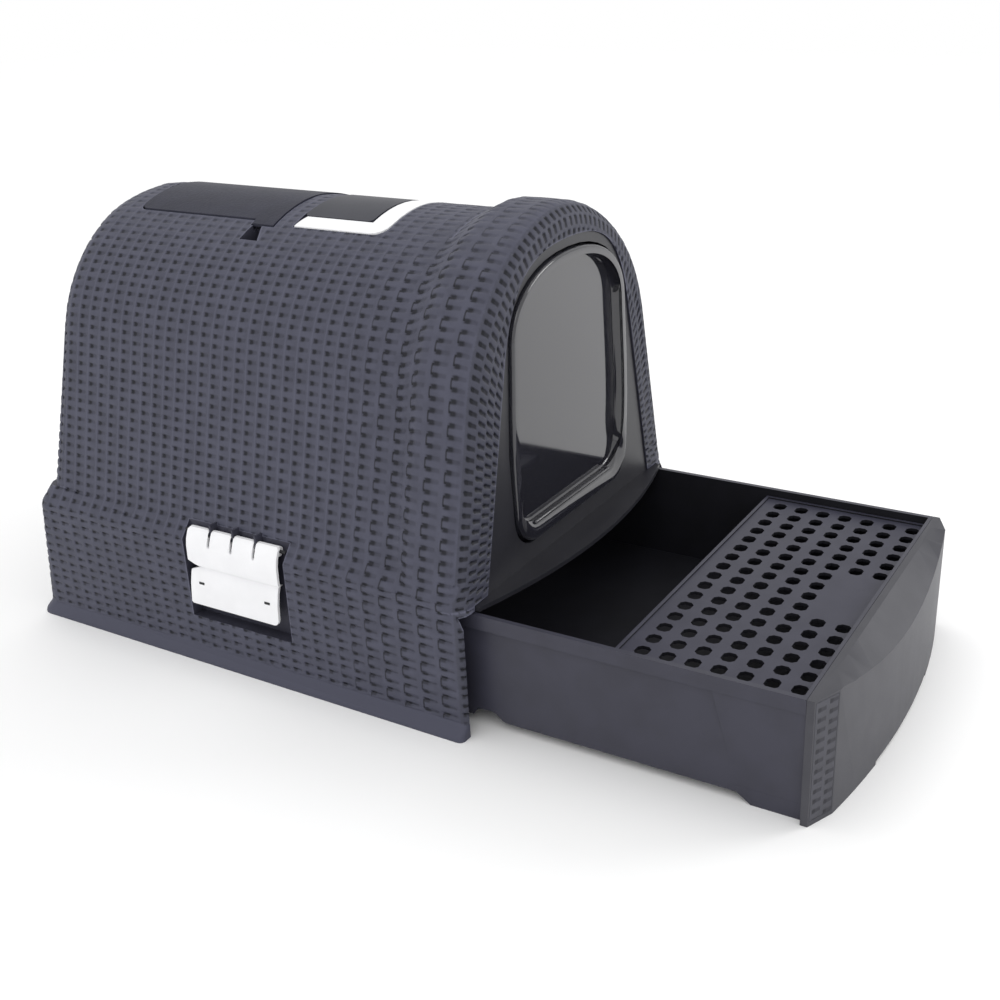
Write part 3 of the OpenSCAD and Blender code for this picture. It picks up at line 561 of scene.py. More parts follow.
@dataclass
class Dressing:
    """The loaded frame and the finishes that every sub-assembly shares."""

    frame: dict
    finishes: dict[Finish, bpy.types.Material]

    def node(self, name: str) -> bpy.types.Object:
        """A CAD node's object."""
        return self.frame["nodes"][name]

    def paint(self, name: str, finish: Finish) -> None:
        """Give a CAD node that keeps its shape a finish."""
        slots = self.node(name).data.materials
        slots.clear()
        slots.append(self.finishes[finish])

    def moulded(
        self,
        node: str,
        body: str,
        finish: Finish,
        width: float,
        slot: str,
        second: Finish | None = None,
        inside: Callable[[Vector, Vector], bool] | None = None,
        whole: bool = True,
    ) -> None:
        """Stand a piece with rounded edges in for a CAD node.

        Args:
            node: The CAD node.
            body: The body that carries it.
            finish: The finish's name.
            width: Rounding of the edges in metres.
            slot: The record's material slot; not used.
            second: A second finish for some of its faces.
            inside: Tells from a face's middle and normal whether it has the second finish.
            whole: Whether flat faces are made whole before the rounding.
        """
        bm = welded(self.node(node), whole)
        kinds = [int(inside(f.calc_center_median(), f.normal)) for f in bm.faces] if inside else None
        mesh = bpy.data.meshes.new(node + "_looks")
        bm.to_mesh(mesh)
        bm.free()
        materials = [self.finishes[f] for f in (finish, second) if f]
        soften(finish_piece(mesh, node + "_looks", body, materials, node, kinds=kinds), width)


# ---------------------------------------------------------------------------
# The woven shell
# ---------------------------------------------------------------------------


@dataclass
class TriangleMesh:
    """Points and triangles as arrays, with the marks that each triangle carries."""

    points: np.ndarray
    triangles: np.ndarray
    marks: np.ndarray

    def edges(self) -> tuple[np.ndarray, np.ndarray]:
        """The unique edges, and for each triangle the numbers of its three edges."""
        ends = np.sort(self.triangles[:, [[0, 1], [1, 2], [2, 0]]].reshape(-1, 2), axis=1)
        key = ends[:, 0].astype(np.int64) * (len(self.points) + 1) + ends[:, 1]
        _, first, inverse = np.unique(key, return_index=True, return_inverse=True)
        return ends[first], inverse.reshape(-1, 3)

    def split_once(self, longest: float) -> bool:
        """Halve each long edge of the marked triangles, if it is near the longest of one of them.

        Args:
            longest: The length above which an edge is halved.

        Returns:
            Whether anything was halved.
        """
        ends, numbers = self.edges()
        length = np.linalg.norm(self.points[ends[:, 0]] - self.points[ends[:, 1]], axis=1)
        sides = length[numbers]
        wanted = (sides > longest) & (sides > NEAR_LONGEST * sides.max(1, keepdims=True))
        wanted &= (self.marks > 0)[:, None]
        halved = np.zeros(len(ends), bool)
        halved[numbers[wanted]] = True
        if not halved.any():
            return False
        middle = np.full(len(ends), -1)
        middle[halved] = len(self.points) + np.arange(halved.sum())
        self.points = np.concatenate([self.points, self.points[ends[halved]].mean(1)])
        cut = middle[numbers]
        count = (cut >= 0).sum(1)
        parts, marks = [self.triangles[count == 0]], [self.marks[count == 0]]
        for turn in range(3):
            order = [turn, (turn + 1) % 3, (turn + 2) % 3]
            a, b, c = (self.triangles[:, k] for k in order)
            ab, bc, ca = (cut[:, k] for k in order)
            cases = [(count == 1) & (ab >= 0), (count == 2) & (ca < 0)]
            rows = [[(a, ab, c), (ab, b, c)], [(ab, b, bc), (a, ab, bc), (a, bc, c)]]
            if turn == 0:
                cases.append(count == 3)
                rows.append([(a, ab, ca), (ab, b, bc), (ca, bc, c), (ab, bc, ca)])
            for here, made in zip(cases, rows):
                for row in made:
                    parts.append(np.stack([x[here] for x in row], 1))
                    marks.append(self.marks[here])
        self.triangles = np.concatenate(parts)
        self.marks = np.concatenate(marks)
        return True

    def face_normals(self) -> np.ndarray:
        """Unit normals of the triangles."""
        a, b, c = (self.points[self.triangles[:, k]] for k in range(3))
        cross = np.cross(b - a, c - a)
        return cross / np.maximum(np.linalg.norm(cross, axis=1, keepdims=True), TINY)

    def areas(self) -> np.ndarray:
        """Areas of the triangles."""
        a, b, c = (self.points[self.triangles[:, k]] for k in range(3))
        return np.linalg.norm(np.cross(b - a, c - a), axis=1) / 2


def spread_mean(values: np.ndarray, ends: np.ndarray, count: int) -> np.ndarray:
    """Mean of the values at each point's neighbours along the edges."""
    total = np.zeros((count,) + values.shape[1:])
    both = np.concatenate([ends, ends[:, ::-1]])
    degree = np.bincount(both[:, 0], minlength=count)
    for axis in range(values.shape[1]):
        total[:, axis] = np.bincount(both[:, 0], weights=values[both[:, 1], axis], minlength=count)
    return total / np.maximum(degree, 1)[:, None]


def rise(x: np.ndarray, low: float, high: float) -> np.ndarray:
    """Smooth rise from zero at low to one at high."""
    t = np.clip((x - low) / (high - low), 0, 1)
    return t * t * (3 - 2 * t)


@dataclass
class Weave:
    """How the moulded weave lies on the hood: strands run along the hood, stakes run round it.

    A pair of lengths is where a change starts and ends, counted back from the hood's front edge. A pair of bare
    numbers is the same within one column or one row.
    """

    row: float = 8.6 * MM
    column: float = 13.4 * MM
    front_column: float = 19.0 * MM
    strip_column: float = 12.4 * MM
    reach: tuple[float, float] = (-0.2, 0.8)
    samples: int = 2001
    narrowing: tuple[float, float] = (45 * MM, 150 * MM)
    widening: tuple[float, float] = (-1 * MM, 7 * MM)
    strip_end: tuple[float, float] = (6 * MM, 7 * MM)
    wide_end: tuple[float, float] = (70 * MM, 170 * MM)
    first: float = 99.61
    groove: float = 0.95 * MM
    bulge: float = 0.3 * MM
    lift: float = 0.25 * MM
    groove_start: tuple[float, float] = (0.06, 0.24)
    groove_end: tuple[float, float] = (0.82, 0.97)
    groove_side: tuple[float, float] = (0.20, 0.44)
    groove_deepens: tuple[float, float] = (0.3, 0.7)
    groove_least: float = 0.6
    short_fade: float = 0.6
    lift_side: tuple[float, float] = (0.3, 0.5)
    lift_least: float = 0.3

    def columns(self, ring: np.ndarray) -> np.ndarray:
        """Column coordinate for distances back from the hood's front edge."""
        steps = np.linspace(*self.reach, self.samples)
        pitch = self.front_column + (self.column - self.front_column) * rise(steps, *self.narrowing)
        pitch = self.strip_column + (pitch - self.strip_column) * rise(steps, *self.widening)
        count = np.concatenate([[0], np.cumsum((steps[1:] - steps[:-1]) * 2 / (pitch[1:] + pitch[:-1]))])
        return np.interp(ring, steps, count) - np.interp(0, steps, count) + self.first

    def strip(self, ring: np.ndarray) -> np.ndarray:
        """One on the rounded front of the arch, where the columns are laid like bricks."""
        return 1 - rise(ring, *self.strip_end)

    def wide(self, ring: np.ndarray) -> np.ndarray:
        """How far each second strand shows its end: fully behind the arch's front edge."""
        return (1 - rise(ring, *self.wide_end)) * (1 - self.strip(ring))

    def relief(
        self, across: np.ndarray, along: np.ndarray, wide: np.ndarray, low: np.ndarray, strip: np.ndarray
    ) -> np.ndarray:
        """Height of the weave above its base surface.

        Args:
            across: Column coordinate of each point.
            along: Row coordinate of each point.
            wide: One where each second strand shows its end.
            low: One on the skirt, where each second groove is short.
            strip: One where the columns are laid like bricks.

        Returns:
            The height of each point in metres, negative in a groove.
        """
        column = np.floor(across)
        shifted = along + (column % 2) * 0.5 * strip
        u, v = across % 1, shifted % 1
        over = (column + np.floor(shifted)) % 2
        edge = np.abs(v - 0.5)
        window = rise(u, *self.groove_start) * (1 - rise(u, *self.groove_end))
        groove = window * rise(edge, *self.groove_side) * (1 - self.short_fade * low * over)
        deep = self.groove_least + (1 - self.groove_least) * rise(u, *self.groove_deepens)
        strand = 1 - (2 * edge) ** 4
        side = (2 * over - 1) * window * (self.lift_least + (1 - self.lift_least) * wide)
        lift = self.lift * side * (1 - rise(edge, *self.lift_side))
        return self.bulge * strand - self.groove * groove * deep + lift


@dataclass
class WovenHood:
    """The hood's shell, with the weave as true relief on its outer faces."""

    dressing: Dressing
    weave: Weave = field(default_factory=Weave)
    edge: float = 2.1 * MM
    crease: float = 24.0
    least_area: float = 0.002
    most_hidden: float = 0.3
    faces_up: tuple[float, float] = (-0.3, 0.9)
    recess_inset: float = 3.8 * MM
    recess_slack: float = 0.5 * MM
    ledge_low: float = 112 * MM
    ledge_high: float = 134 * MM
    ledge_length: float = 26.2 * MM
    skirt: tuple[float, float] = (119 * MM, 124 * MM)
    foot: tuple[float, float] = (12 * MM, 15 * MM)
    flat_top: tuple[float, float] = (0.7, 0.95)
    flat_fade: float = 0.5
    plain_y: float = -0.120
    side_y: float = 0.100
    collar_y: float = -0.205
    corner_y: float = -0.224
    far: float = 0.5
    probe_top: float = 386 * MM
    wall_top: float = 0.28
    wall_stretch: float = 1.03
    smoothing: int = 8
    torn: float = 0.8
    sharp: float = 42.0

    def __post_init__(self) -> None:
        """Read the shell and work out the outlines that the weave follows."""
        bm = bmesh.new()
        bm.from_mesh(self.dressing.node("hood_shell").data)
        bmesh.ops.remove_doubles(bm, verts=bm.verts, dist=WELD)
        bmesh.ops.triangulate(bm, faces=bm.faces)
        self.surface = BVHTree.FromBMesh(bm)
        points = np.array([v.co for v in bm.verts])
        triangles = np.array([[v.index for v in f.verts] for f in bm.faces])
        bm.free()
        self.mesh = TriangleMesh(points, triangles, np.zeros(len(triangles)))
        self.front = float(points[:, 1].min())
        self.angles = np.radians(np.linspace(0, 90, 91))
        dome = self.outline(self.plain_y)
        step = np.linalg.norm(np.diff(dome, axis=0), axis=1)
        self.arch = np.concatenate([[0], np.cumsum(step)])
        collar = self.outline(self.collar_y)
        self.collar_radius = np.hypot(collar[:, 0], collar[:, 1] - self.ledge_high)
        self.heights = np.linspace(1 * MM, self.probe_top, round(self.probe_top / MM))
        self.halves = np.array([self.half_width(z) for z in self.heights])

    def outline(self, y: float) -> np.ndarray:
        """Points of the outer arch at depth y, seen from its middle at the ledge's height."""
        found = []
        for a in self.angles:
            way = Vector((math.cos(a), 0, math.sin(a)))
            hit = self.surface.ray_cast(Vector((0, y, self.ledge_high)) + way * self.far, -way)[0]
            found.append((hit.x, hit.z))
        return np.array(found)

    def half_width(self, z: float) -> float:
        """Half width of the hood at height z, behind the clips."""
        hit = self.surface.ray_cast(Vector((self.far, self.side_y, z)), Vector((-1, 0, 0)))[0]
        return hit.x if hit else 0.0

    def smooth_areas(self, normals: np.ndarray) -> np.ndarray:
        """Number the areas that no crease divides.

        Args:
            normals: The triangles' normals.

        Returns:
            For each triangle the number of its area.
        """
        _, numbers = self.mesh.edges()
        flat = numbers.ravel()
        order = np.argsort(flat, kind="stable")
        owner = order // 3
        same = flat[order][1:] == flat[order][:-1]
        a, b = owner[:-1][same], owner[1:][same]
        smooth = (normals[a] * normals[b]).sum(1) > math.cos(math.radians(self.crease))
        a, b = a[smooth], b[smooth]
        label = np.arange(len(normals))
        while True:
            low = np.minimum(label[a], label[b])
            before = label.copy()
            np.minimum.at(label, a, low)
            np.minimum.at(label, b, low)
            label = label[label]
            if (label == before).all():
                return label

    def mark_outside(self) -> None:
        """Mark the large outer faces, which carry the weave."""
        mesh = self.mesh
        normals, areas = mesh.face_normals(), mesh.areas()
        label = self.smooth_areas(normals)
        centres = mesh.points[mesh.triangles].mean(1)
        # A face that looks at another one across a space is an inner face.
        hidden = np.array([
            self.surface.ray_cast(Vector(c + n * MM), Vector(n))[0] is not None for c, n in zip(centres, normals)
        ])
        size = np.bincount(label, weights=areas, minlength=len(areas))
        share, upward = (
            np.bincount(label, weights=areas * what, minlength=len(areas)) / np.maximum(size, TINY)
            for what in (hidden, normals[:, 2])
        )
        woven = (size > self.least_area) & (share < self.most_hidden)
        woven &= (upward > self.faces_up[0]) & (upward < self.faces_up[1])
        low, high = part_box("clip_pin_right")
        recess = (np.abs(centres[:, 0]) < low.x - self.recess_inset) & (centres[:, 2] < self.ledge_high)
        recess &= (centres[:, 1] > low.y - self.recess_slack) & (centres[:, 1] < high.y + self.recess_slack)
        mesh.marks = (woven[label] & ~recess).astype(float)

    def coordinates(self, p: np.ndarray, n: np.ndarray) -> tuple[np.ndarray, np.ndarray]:
        """Distance back from the front edge, and distance up round the arch.

        Args:
            p: Points.
            n: Their normals.

        Returns:
            The ring distance and the arch distance of each point.
        """
        x, y, z = np.abs(p[:, 0]), p[:, 1], p[:, 2]
        angle = np.clip(np.arctan2(z - self.ledge_high, x), 0, math.pi / 2)
        radius = np.hypot(x, np.maximum(z - self.ledge_high, 0))
        ledge = self.ledge_high - self.ledge_low
        low = np.minimum(z, self.ledge_low) + np.clip(z - self.ledge_low, 0, ledge) * (self.ledge_length / ledge)
        half = np.interp(z, self.heights, self.halves)
        walls = (n[:, 1] > 0.5) & (n[:, 1] > n[:, 2])
        wall_rise = np.maximum(z - self.ledge_high, 0) * self.wall_stretch
        arch = low + np.where(walls, wall_rise, np.interp(angle, self.angles, self.arch))
        outer = np.interp(angle, self.angles, self.collar_radius)
        inward = np.where(z > self.ledge_high, outer - radius, half - x)
        ring = y - self.front
        ring = np.where(y < self.corner_y, ring - np.maximum(inward, 0), ring)
        low_wall = (z < self.wall_top) & (y > self.side_y)
        ring = np.where(walls | low_wall, ring + np.maximum(half - x, 0), ring)
        return ring, arch

    def free_points(self) -> np.ndarray:
        """Whether each point lies on outer faces alone."""
        outside = self.mesh.marks > 0
        inner, free = np.zeros((2, len(self.mesh.points)), bool)
        inner[self.mesh.triangles[~outside]] = True
        free[self.mesh.triangles[outside]] = True
        return free & ~inner

    def point_normals(self) -> np.ndarray:
        """Unit normals of the outer faces at the points."""
        mesh, outside = self.mesh, self.mesh.marks > 0
        weights = mesh.face_normals() * mesh.areas()[:, None]
        at = np.zeros((len(mesh.points), 3))
        for corner in mesh.triangles[outside].T:
            for axis in range(3):
                at[:, axis] += np.bincount(corner, weights=weights[outside][:, axis], minlength=len(at))
        return at / np.maximum(np.linalg.norm(at, axis=1, keepdims=True), TINY)

    def build(self) -> bpy.types.Object:
        """Split, smooth and emboss the shell, and stand it in for the CAD node."""
        self.mark_outside()
        mesh = self.mesh
        while mesh.split_once(self.edge):
            pass
        count = len(mesh.points)
        ends, _ = mesh.edges()
        free = self.free_points()
        for _ in range(self.smoothing):
            mean = spread_mean(mesh.points, ends, count)
            mesh.points = np.where(free[:, None], 0.5 * mesh.points + 0.5 * mean, mesh.points)
        at = self.point_normals()
        ring, arch = self.coordinates(mesh.points, at)
        across, along = self.weave.columns(ring), arch / self.weave.row
        kinds = {
            WIDE: self.weave.wide(ring),
            LOW: 1 - rise(mesh.points[:, 2], *self.skirt),
            STRIP: self.weave.strip(ring),
        }
        foot = rise(mesh.points[:, 2], *self.foot)
        near = np.where(free, 1.0, 0.0)
        for _ in range(2):
            near = np.minimum(near, spread_mean(near[:, None], ends, count)[:, 0])
        # Where the weave lies: its relief and its painted shade fade at the foot, near inner faces and on faces that
        # look up.
        woven = near * foot * (1 - self.flat_fade * rise(at[:, 2], *self.flat_top))
        height = self.weave.relief(across, along, *kinds.values()) * woven
        # Painted highlight along the edges of the outer faces, above the foot.
        kinds |= {WOVEN: woven, RIM_HIGHLIGHT: (1 - near) * foot}
        return self.to_piece(mesh.points + at * height[:, None], across, along, kinds, at)

    def to_piece(
        self,
        points: np.ndarray,
        across: np.ndarray,
        along: np.ndarray,
        kinds: dict[str, np.ndarray],
        normals: np.ndarray,
    ) -> bpy.types.Object:
        """Turn the arrays into a piece with its weave map.

        Args:
            points: The embossed points.
            across: Column coordinate of each point.
            along: Row coordinate of each point.
            kinds: The marks that the mesh carries at its points.
            normals: The points' normals before the embossing.

        Returns:
            The woven hood.
        """
        made = bpy.data.meshes.new("woven_hood")
        triangles = self.mesh.triangles
        made.vertices.add(len(points))
        made.vertices.foreach_set("co", points.ravel())
        made.loops.add(triangles.size)
        made.loops.foreach_set("vertex_index", triangles.ravel().astype(np.int32))
        made.polygons.add(len(triangles))
        made.polygons.foreach_set("loop_start", np.arange(0, triangles.size, 3, dtype=np.int32))
        made.update(calc_edges=True)
        layer = made.uv_layers.new(name=WEAVE_MAP)
        corner = np.stack([across, along], 1)[triangles]
        torn = (corner.max(1) - corner.min(1) > self.torn).any(1)
        if torn.any():
            # Where two faces meet at an angle, a triangle takes its map from its own normal.
            face = normals[triangles].mean(1)[torn]
            ring, arch = self.coordinates(self.mesh.points[triangles[torn]].reshape(-1, 3), np.repeat(face, 3, axis=0))
            corner[torn] = np.stack([self.weave.columns(ring), arch / self.weave.row], 1).reshape(-1, 3, 2)
        layer.uv.foreach_set("vector", corner.reshape(-1).astype(np.float32))
        for name, values in kinds.items():
            made.attributes.new(name, "FLOAT", "POINT").data.foreach_set("value", values.astype(np.float32))
        finishes = [self.dressing.finishes[f] for f in (Finish.WOVEN, Finish.INNER)]
        inner = (self.mesh.marks == 0).astype(int).tolist()
        return finish_piece(made, made.name, "hood", finishes, "hood_shell", self.sharp, inner)


# ---------------------------------------------------------------------------
# The swing door
# ---------------------------------------------------------------------------


@dataclass
class SwingDoor:
    """Smoked door: a thin pane set deep in a rounded border, with a grip bar and the hinge's knuckles."""

    dressing: Dressing
    rim: float = 7.5 * MM
    foot_rim: float = 15 * MM
    front: float = 1.0 * MM
    back: float = 0.3 * MM
    pane: float = 2.0 * MM
    rounding: float = 2.4 * MM
    back_edge: float = 0.4 * MM
    inner_edge: float = 0.8 * MM
    foot_slope: float = 7.0 * MM
    foot_high: float = 55 * MM
    foot_radius: float = 30 * MM
    foot_turn: float = 86.0
    foot_inset: float = 4 * MM
    neck_inset: float = 5 * MM
    squareness: float = 0.9
    cap: float = 62 * MM
    wide: float = 85 * MM
    knuckle_radius: float = 4 * MM
    knuckle_inset: float = 6 * MM
    bar: tuple[float, float, float] = (68 * MM, 3 * MM, 1.6 * MM)
    bar_set_back: float = 0.4
    sharp: float = 40.0

    def __post_init__(self) -> None:
        """Read the door's box."""
        self.low, self.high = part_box("door_flap")

    def outline(self, shrink: float, lift: float = 0.0) -> list[tuple[float, float]]:
        """The door's outline seen from the front.

        Args:
            shrink: How far the outline lies inside the door's edge.
            lift: How much further its foot lies inside.

        Returns:
            Points across and up, anticlockwise.
        """
        half, foot_z = self.high.x - shrink, self.low.z + shrink + lift
        foot, neck, radius = half - self.foot_inset, half - self.neck_inset, self.foot_radius - shrink * 0.5
        top, cap_z = self.high.z - shrink, self.high.z - self.cap
        right = []
        for k in range(13):
            a = math.radians(-90 + self.foot_turn * k / 12)
            right.append((foot - radius + radius * math.cos(a), foot_z + radius + radius * math.sin(a)))
        right.append((half, self.low.z + self.wide))
        for k in range(25):
            a = math.radians(90 * k / 24)
            across, up = math.cos(a) ** self.squareness, math.sin(a) ** self.squareness
            right.append((neck * across, cap_z + (top - cap_z) * up))
        points = right + [(-x, z) for x, z in right[-2::-1]]
        for _ in range(2):
            turned = points[1:] + points[:1]
            points = [
                (p[0] * (1 - t) + q[0] * t, p[1] * (1 - t) + q[1] * t)
                for p, q in zip(points, turned) for t in (0.25, 0.75)
            ]
        return points

    def rings(self) -> list[tuple[float, float, float]]:
        """The loft from the back over the border's rounding into the pane: inset, lift of the foot, and depth."""
        y0, y1 = self.low.y + self.front, self.high.y - self.back
        r, extra = self.rounding, self.foot_rim - self.rim
        quarter = [math.radians(90 * k / 5) for k in range(6)]
        rings = [(self.back_edge, 0.0, y1), (0.0, 0.0, y1 - self.back_edge)]
        rings += [(r * (1 - math.cos(a)), 0.0, y0 + r * (1 - math.sin(a))) for a in quarter]
        rings += [(self.rim - r * math.cos(a), extra, y0 + r * (1 - math.sin(a))) for a in reversed(quarter)]
        return rings + [
            (self.rim + self.inner_edge, extra, y1 - self.pane - self.inner_edge),
            (self.rim + 2 * self.inner_edge, extra, y1 - self.pane),
        ]

    def build(self) -> bpy.types.Object:
        """Loft the border and the pane, add the bar and the knuckles, and stand them in for the CAD node."""
        bm = bmesh.new()
        loops = []
        for shrink, lift, y in self.rings():
            slope = self.foot_slope if lift and y < self.high.y - self.back - self.pane - MM else 0.0
            loop = []
            for x, z in self.outline(shrink, lift):
                t = min(max((z - self.low.z) / self.foot_high, 0.0), 1.0)
                loop.append(bm.verts.new((x, y + slope * (1 - t * t * (3 - 2 * t)), z)))
            loops.append(loop)
        for first, second in zip(loops, loops[1:]):
            count = len(first)
            for k in range(count):
                j = (k + 1) % count
                bm.faces.new((first[k], first[j], second[j], second[k]))
        bm.faces.new(loops[-1])
        bm.faces.new(loops[0][::-1])
        self.details(bm)
        bmesh.ops.recalc_face_normals(bm, faces=bm.faces)
        mesh = bpy.data.meshes.new("swing_door")
        bm.to_mesh(mesh)
        bm.free()
        smoked = [self.dressing.finishes[Finish.SMOKED]]
        return finish_piece(mesh, mesh.name, "door", smoked, "door_flap", self.sharp)

    def details(self, bm: bmesh.types.BMesh) -> None:
        """Add the grip bar across the foot and the knuckles round the door's pins."""
        pins_low, pins_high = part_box("door_pins")
        axis = (pins_low + pins_high) / 2
        for side in (-1, 1):
            at = Vector((side * (self.high.x - self.knuckle_inset - self.rim / 2), axis.y, axis.z))
            add_roll(bm, at, "Y", self.knuckle_radius, self.rim)
        half, deep, tall = self.bar
        y = self.low.y + self.front + deep + self.foot_slope * self.bar_set_back
        place = Matrix.Translation(Vector((0, y, self.low.z + self.foot_rim - tall)))
        made = bmesh.ops.create_cube(bm, size=2.0, matrix=place @ Matrix.Diagonal((half, deep, tall, 1)))
        edges = {e for v in made["verts"] for e in v.link_edges}
        bmesh.ops.bevel(bm, geom=list(edges), offset=tall, segments=3, affect="EDGES", profile=0.6)


# ---------------------------------------------------------------------------
# The side clips
# ---------------------------------------------------------------------------


@dataclass
class SideClip:
    """White clip: fingers round the pin, an upper plate, a fold with a notch behind it, and a lower plate.

    The section is height and inset of the clip's face in millimetres. The notch gives the lower part of its front
    and rear edges, in millimetres from the front or rear and up.
    """

    dressing: Dressing
    side: int
    fingers: int = 4
    slot: float = 3 * MM
    slot_depth: float = 15 * MM
    knuckle: float = 4.5 * MM
    thick: float = 2.6 * MM
    corner: float = 6 * MM
    corner_inset: float = 5 * MM
    chamfer: float = 2 * MM
    slot_chamfer: float = 1.5 * MM
    edge: float = 0.5 * MM
    slit: tuple[float, float, float] = (1.3 * MM, 6 * MM, 2.2 * MM)
    slit_set_back: float = 0.4 * MM
    front_slit: tuple[float, float] = (16 * MM, 20 * MM)
    rear_slit: tuple[float, float] = (11 * MM, 22 * MM)
    front_notch: tuple[tuple[float, float], ...] = ((4.0, 36.0), (0.0, 40.0))
    rear_notch: tuple[tuple[float, float], ...] = ((0.0, 44.0), (-14.0, 38.5), (1.0, 33.0), (3.5, 2.0), (2.0, 0.0))
    section: tuple[tuple[float, float], ...] = (
        (0.0, 0.9), (1.5, 0.5), (20.0, 1.2), (30.0, 2.8), (36.0, 4.6), (38.4, 5.2), (39.4, 1.0), (41.0, 0.1),
        (48.0, 0.0), (58.0, 0.4), (64.0, 1.6), (70.0, 4.2), (72.0, 5.4), (74.0, 7.0),
    )

    def __post_init__(self) -> None:
        """Read the clip's box and its pin."""
        self.name = "side_clip_left" if self.side < 0 else "side_clip_right"
        self.low, self.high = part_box("side_clip_right")
        pin_low, pin_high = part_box("clip_pin_right")
        self.axis = (pin_low + pin_high) / 2
        self.step = (self.high.y - self.low.y) / self.fingers

    def face_x(self, z: float) -> float:
        """How far out the clip's face lies at height z."""
        levels = [self.low.z + s * MM for s, _ in self.section]
        return self.high.x - float(np.interp(z, levels, [inward for _, inward in self.section])) * MM

    def outline(self) -> list[tuple[float, float]]:
        """The clip's outline seen from its side: points from front to back, and up."""
        y0, y1, z0, z1 = self.low.y, self.high.y, self.low.z, self.high.z
        points = [
            (y0 + self.corner_inset + self.corner * (1 - math.sin(a)), z0 + self.corner * (1 - math.cos(a)))
            for a in (math.radians(15 * k) for k in range(7))
        ]
        points += [(y0 + y * MM, z0 + z * MM) for y, z in self.front_notch]
        points += [(y0, z1 - self.chamfer), (y0 + self.chamfer, z1)]
        h, c, foot = self.slot / 2, self.slot_chamfer, z1 - self.slot_depth
        for k in range(1, self.fingers):
            y = y0 + k * self.step
            points += [(y - h - c, z1), (y - h, z1 - c), (y - h, foot + h), (y, foot), (y + h, foot + h)]
            points += [(y + h, z1 - c), (y + h + c, z1)]
        points += [(y1 - self.chamfer, z1), (y1, z1 - self.chamfer)]
        return points + [(y1 + y * MM, z0 + z * MM) for y, z in self.rear_notch]

    def build(self) -> bpy.types.Object:
        """Bend the outline to the section, give it its thickness, and stand it in for the CAD node."""
        bm = bmesh.new()
        bm.faces.new([bm.verts.new((0, y, z)) for y, z in self.outline()])
        for s, _ in self.section[1:-1]:
            everything = list(bm.verts) + list(bm.edges) + list(bm.faces)
            at = Vector((0, 0, self.low.z + s * MM))
            bmesh.ops.bisect_plane(bm, geom=everything, plane_co=at, plane_no=Vector((0, 0, 1)))
        for vert in bm.verts:
            vert.co.x = self.face_x(vert.co.z)
        grown = bmesh.ops.extrude_face_region(bm, geom=list(bm.faces), use_keep_orig=True)
        for vert in (g for g in grown["geom"] if isinstance(g, bmesh.types.BMVert)):
            vert.co.x -= self.thick
        self.knuckles(bm)
        self.slits(bm)
        bmesh.ops.recalc_face_normals(bm, faces=bm.faces)
        if self.side < 0:
            bmesh.ops.scale(bm, vec=Vector((-1, 1, 1)), verts=bm.verts)
            bmesh.ops.reverse_faces(bm, faces=bm.faces)
        kinds = [face.material_index for face in bm.faces]
        mesh = bpy.data.meshes.new(self.name + "_looks")
        bm.to_mesh(mesh)
        bm.free()
        finishes = [self.dressing.finishes[f] for f in (Finish.WHITE, Finish.DARK)]
        body = "clip_left" if self.side < 0 else "clip_right"
        piece = finish_piece(mesh, mesh.name, body, finishes, self.name, kinds=kinds)
        soften(piece, self.edge)
        return piece

    def knuckles(self, bm: bmesh.types.BMesh) -> None:
        """Roll each finger's top round the pin."""
        for k in range(self.fingers):
            at = Vector((self.axis.x, self.low.y + (k + 0.5) * self.step, self.axis.z))
            add_roll(bm, at, "X", self.knuckle, self.step - self.slot)

    def slits(self, bm: bmesh.types.BMesh) -> None:
        """Add the two small slits in the lower plate, as dark boxes that paint the shade inside them."""
        front, rear = self.front_slit, self.rear_slit
        for y, up in ((self.high.y - rear[0], rear[1]), (self.low.y + front[0], front[1])):
            z = self.low.z + up
            place = Matrix.Translation(Vector((self.face_x(z) - self.slit_set_back, y, z)))
            made = bmesh.ops.create_cube(bm, size=1.0, matrix=place @ Matrix.Diagonal((*self.slit, 1)))
            # Painted shade: the slits' boxes take the dark finish.
            for face in {face for vert in made["verts"] for face in vert.link_faces}:
                face.material_index = 1


# ---------------------------------------------------------------------------
# The drawer
# ---------------------------------------------------------------------------


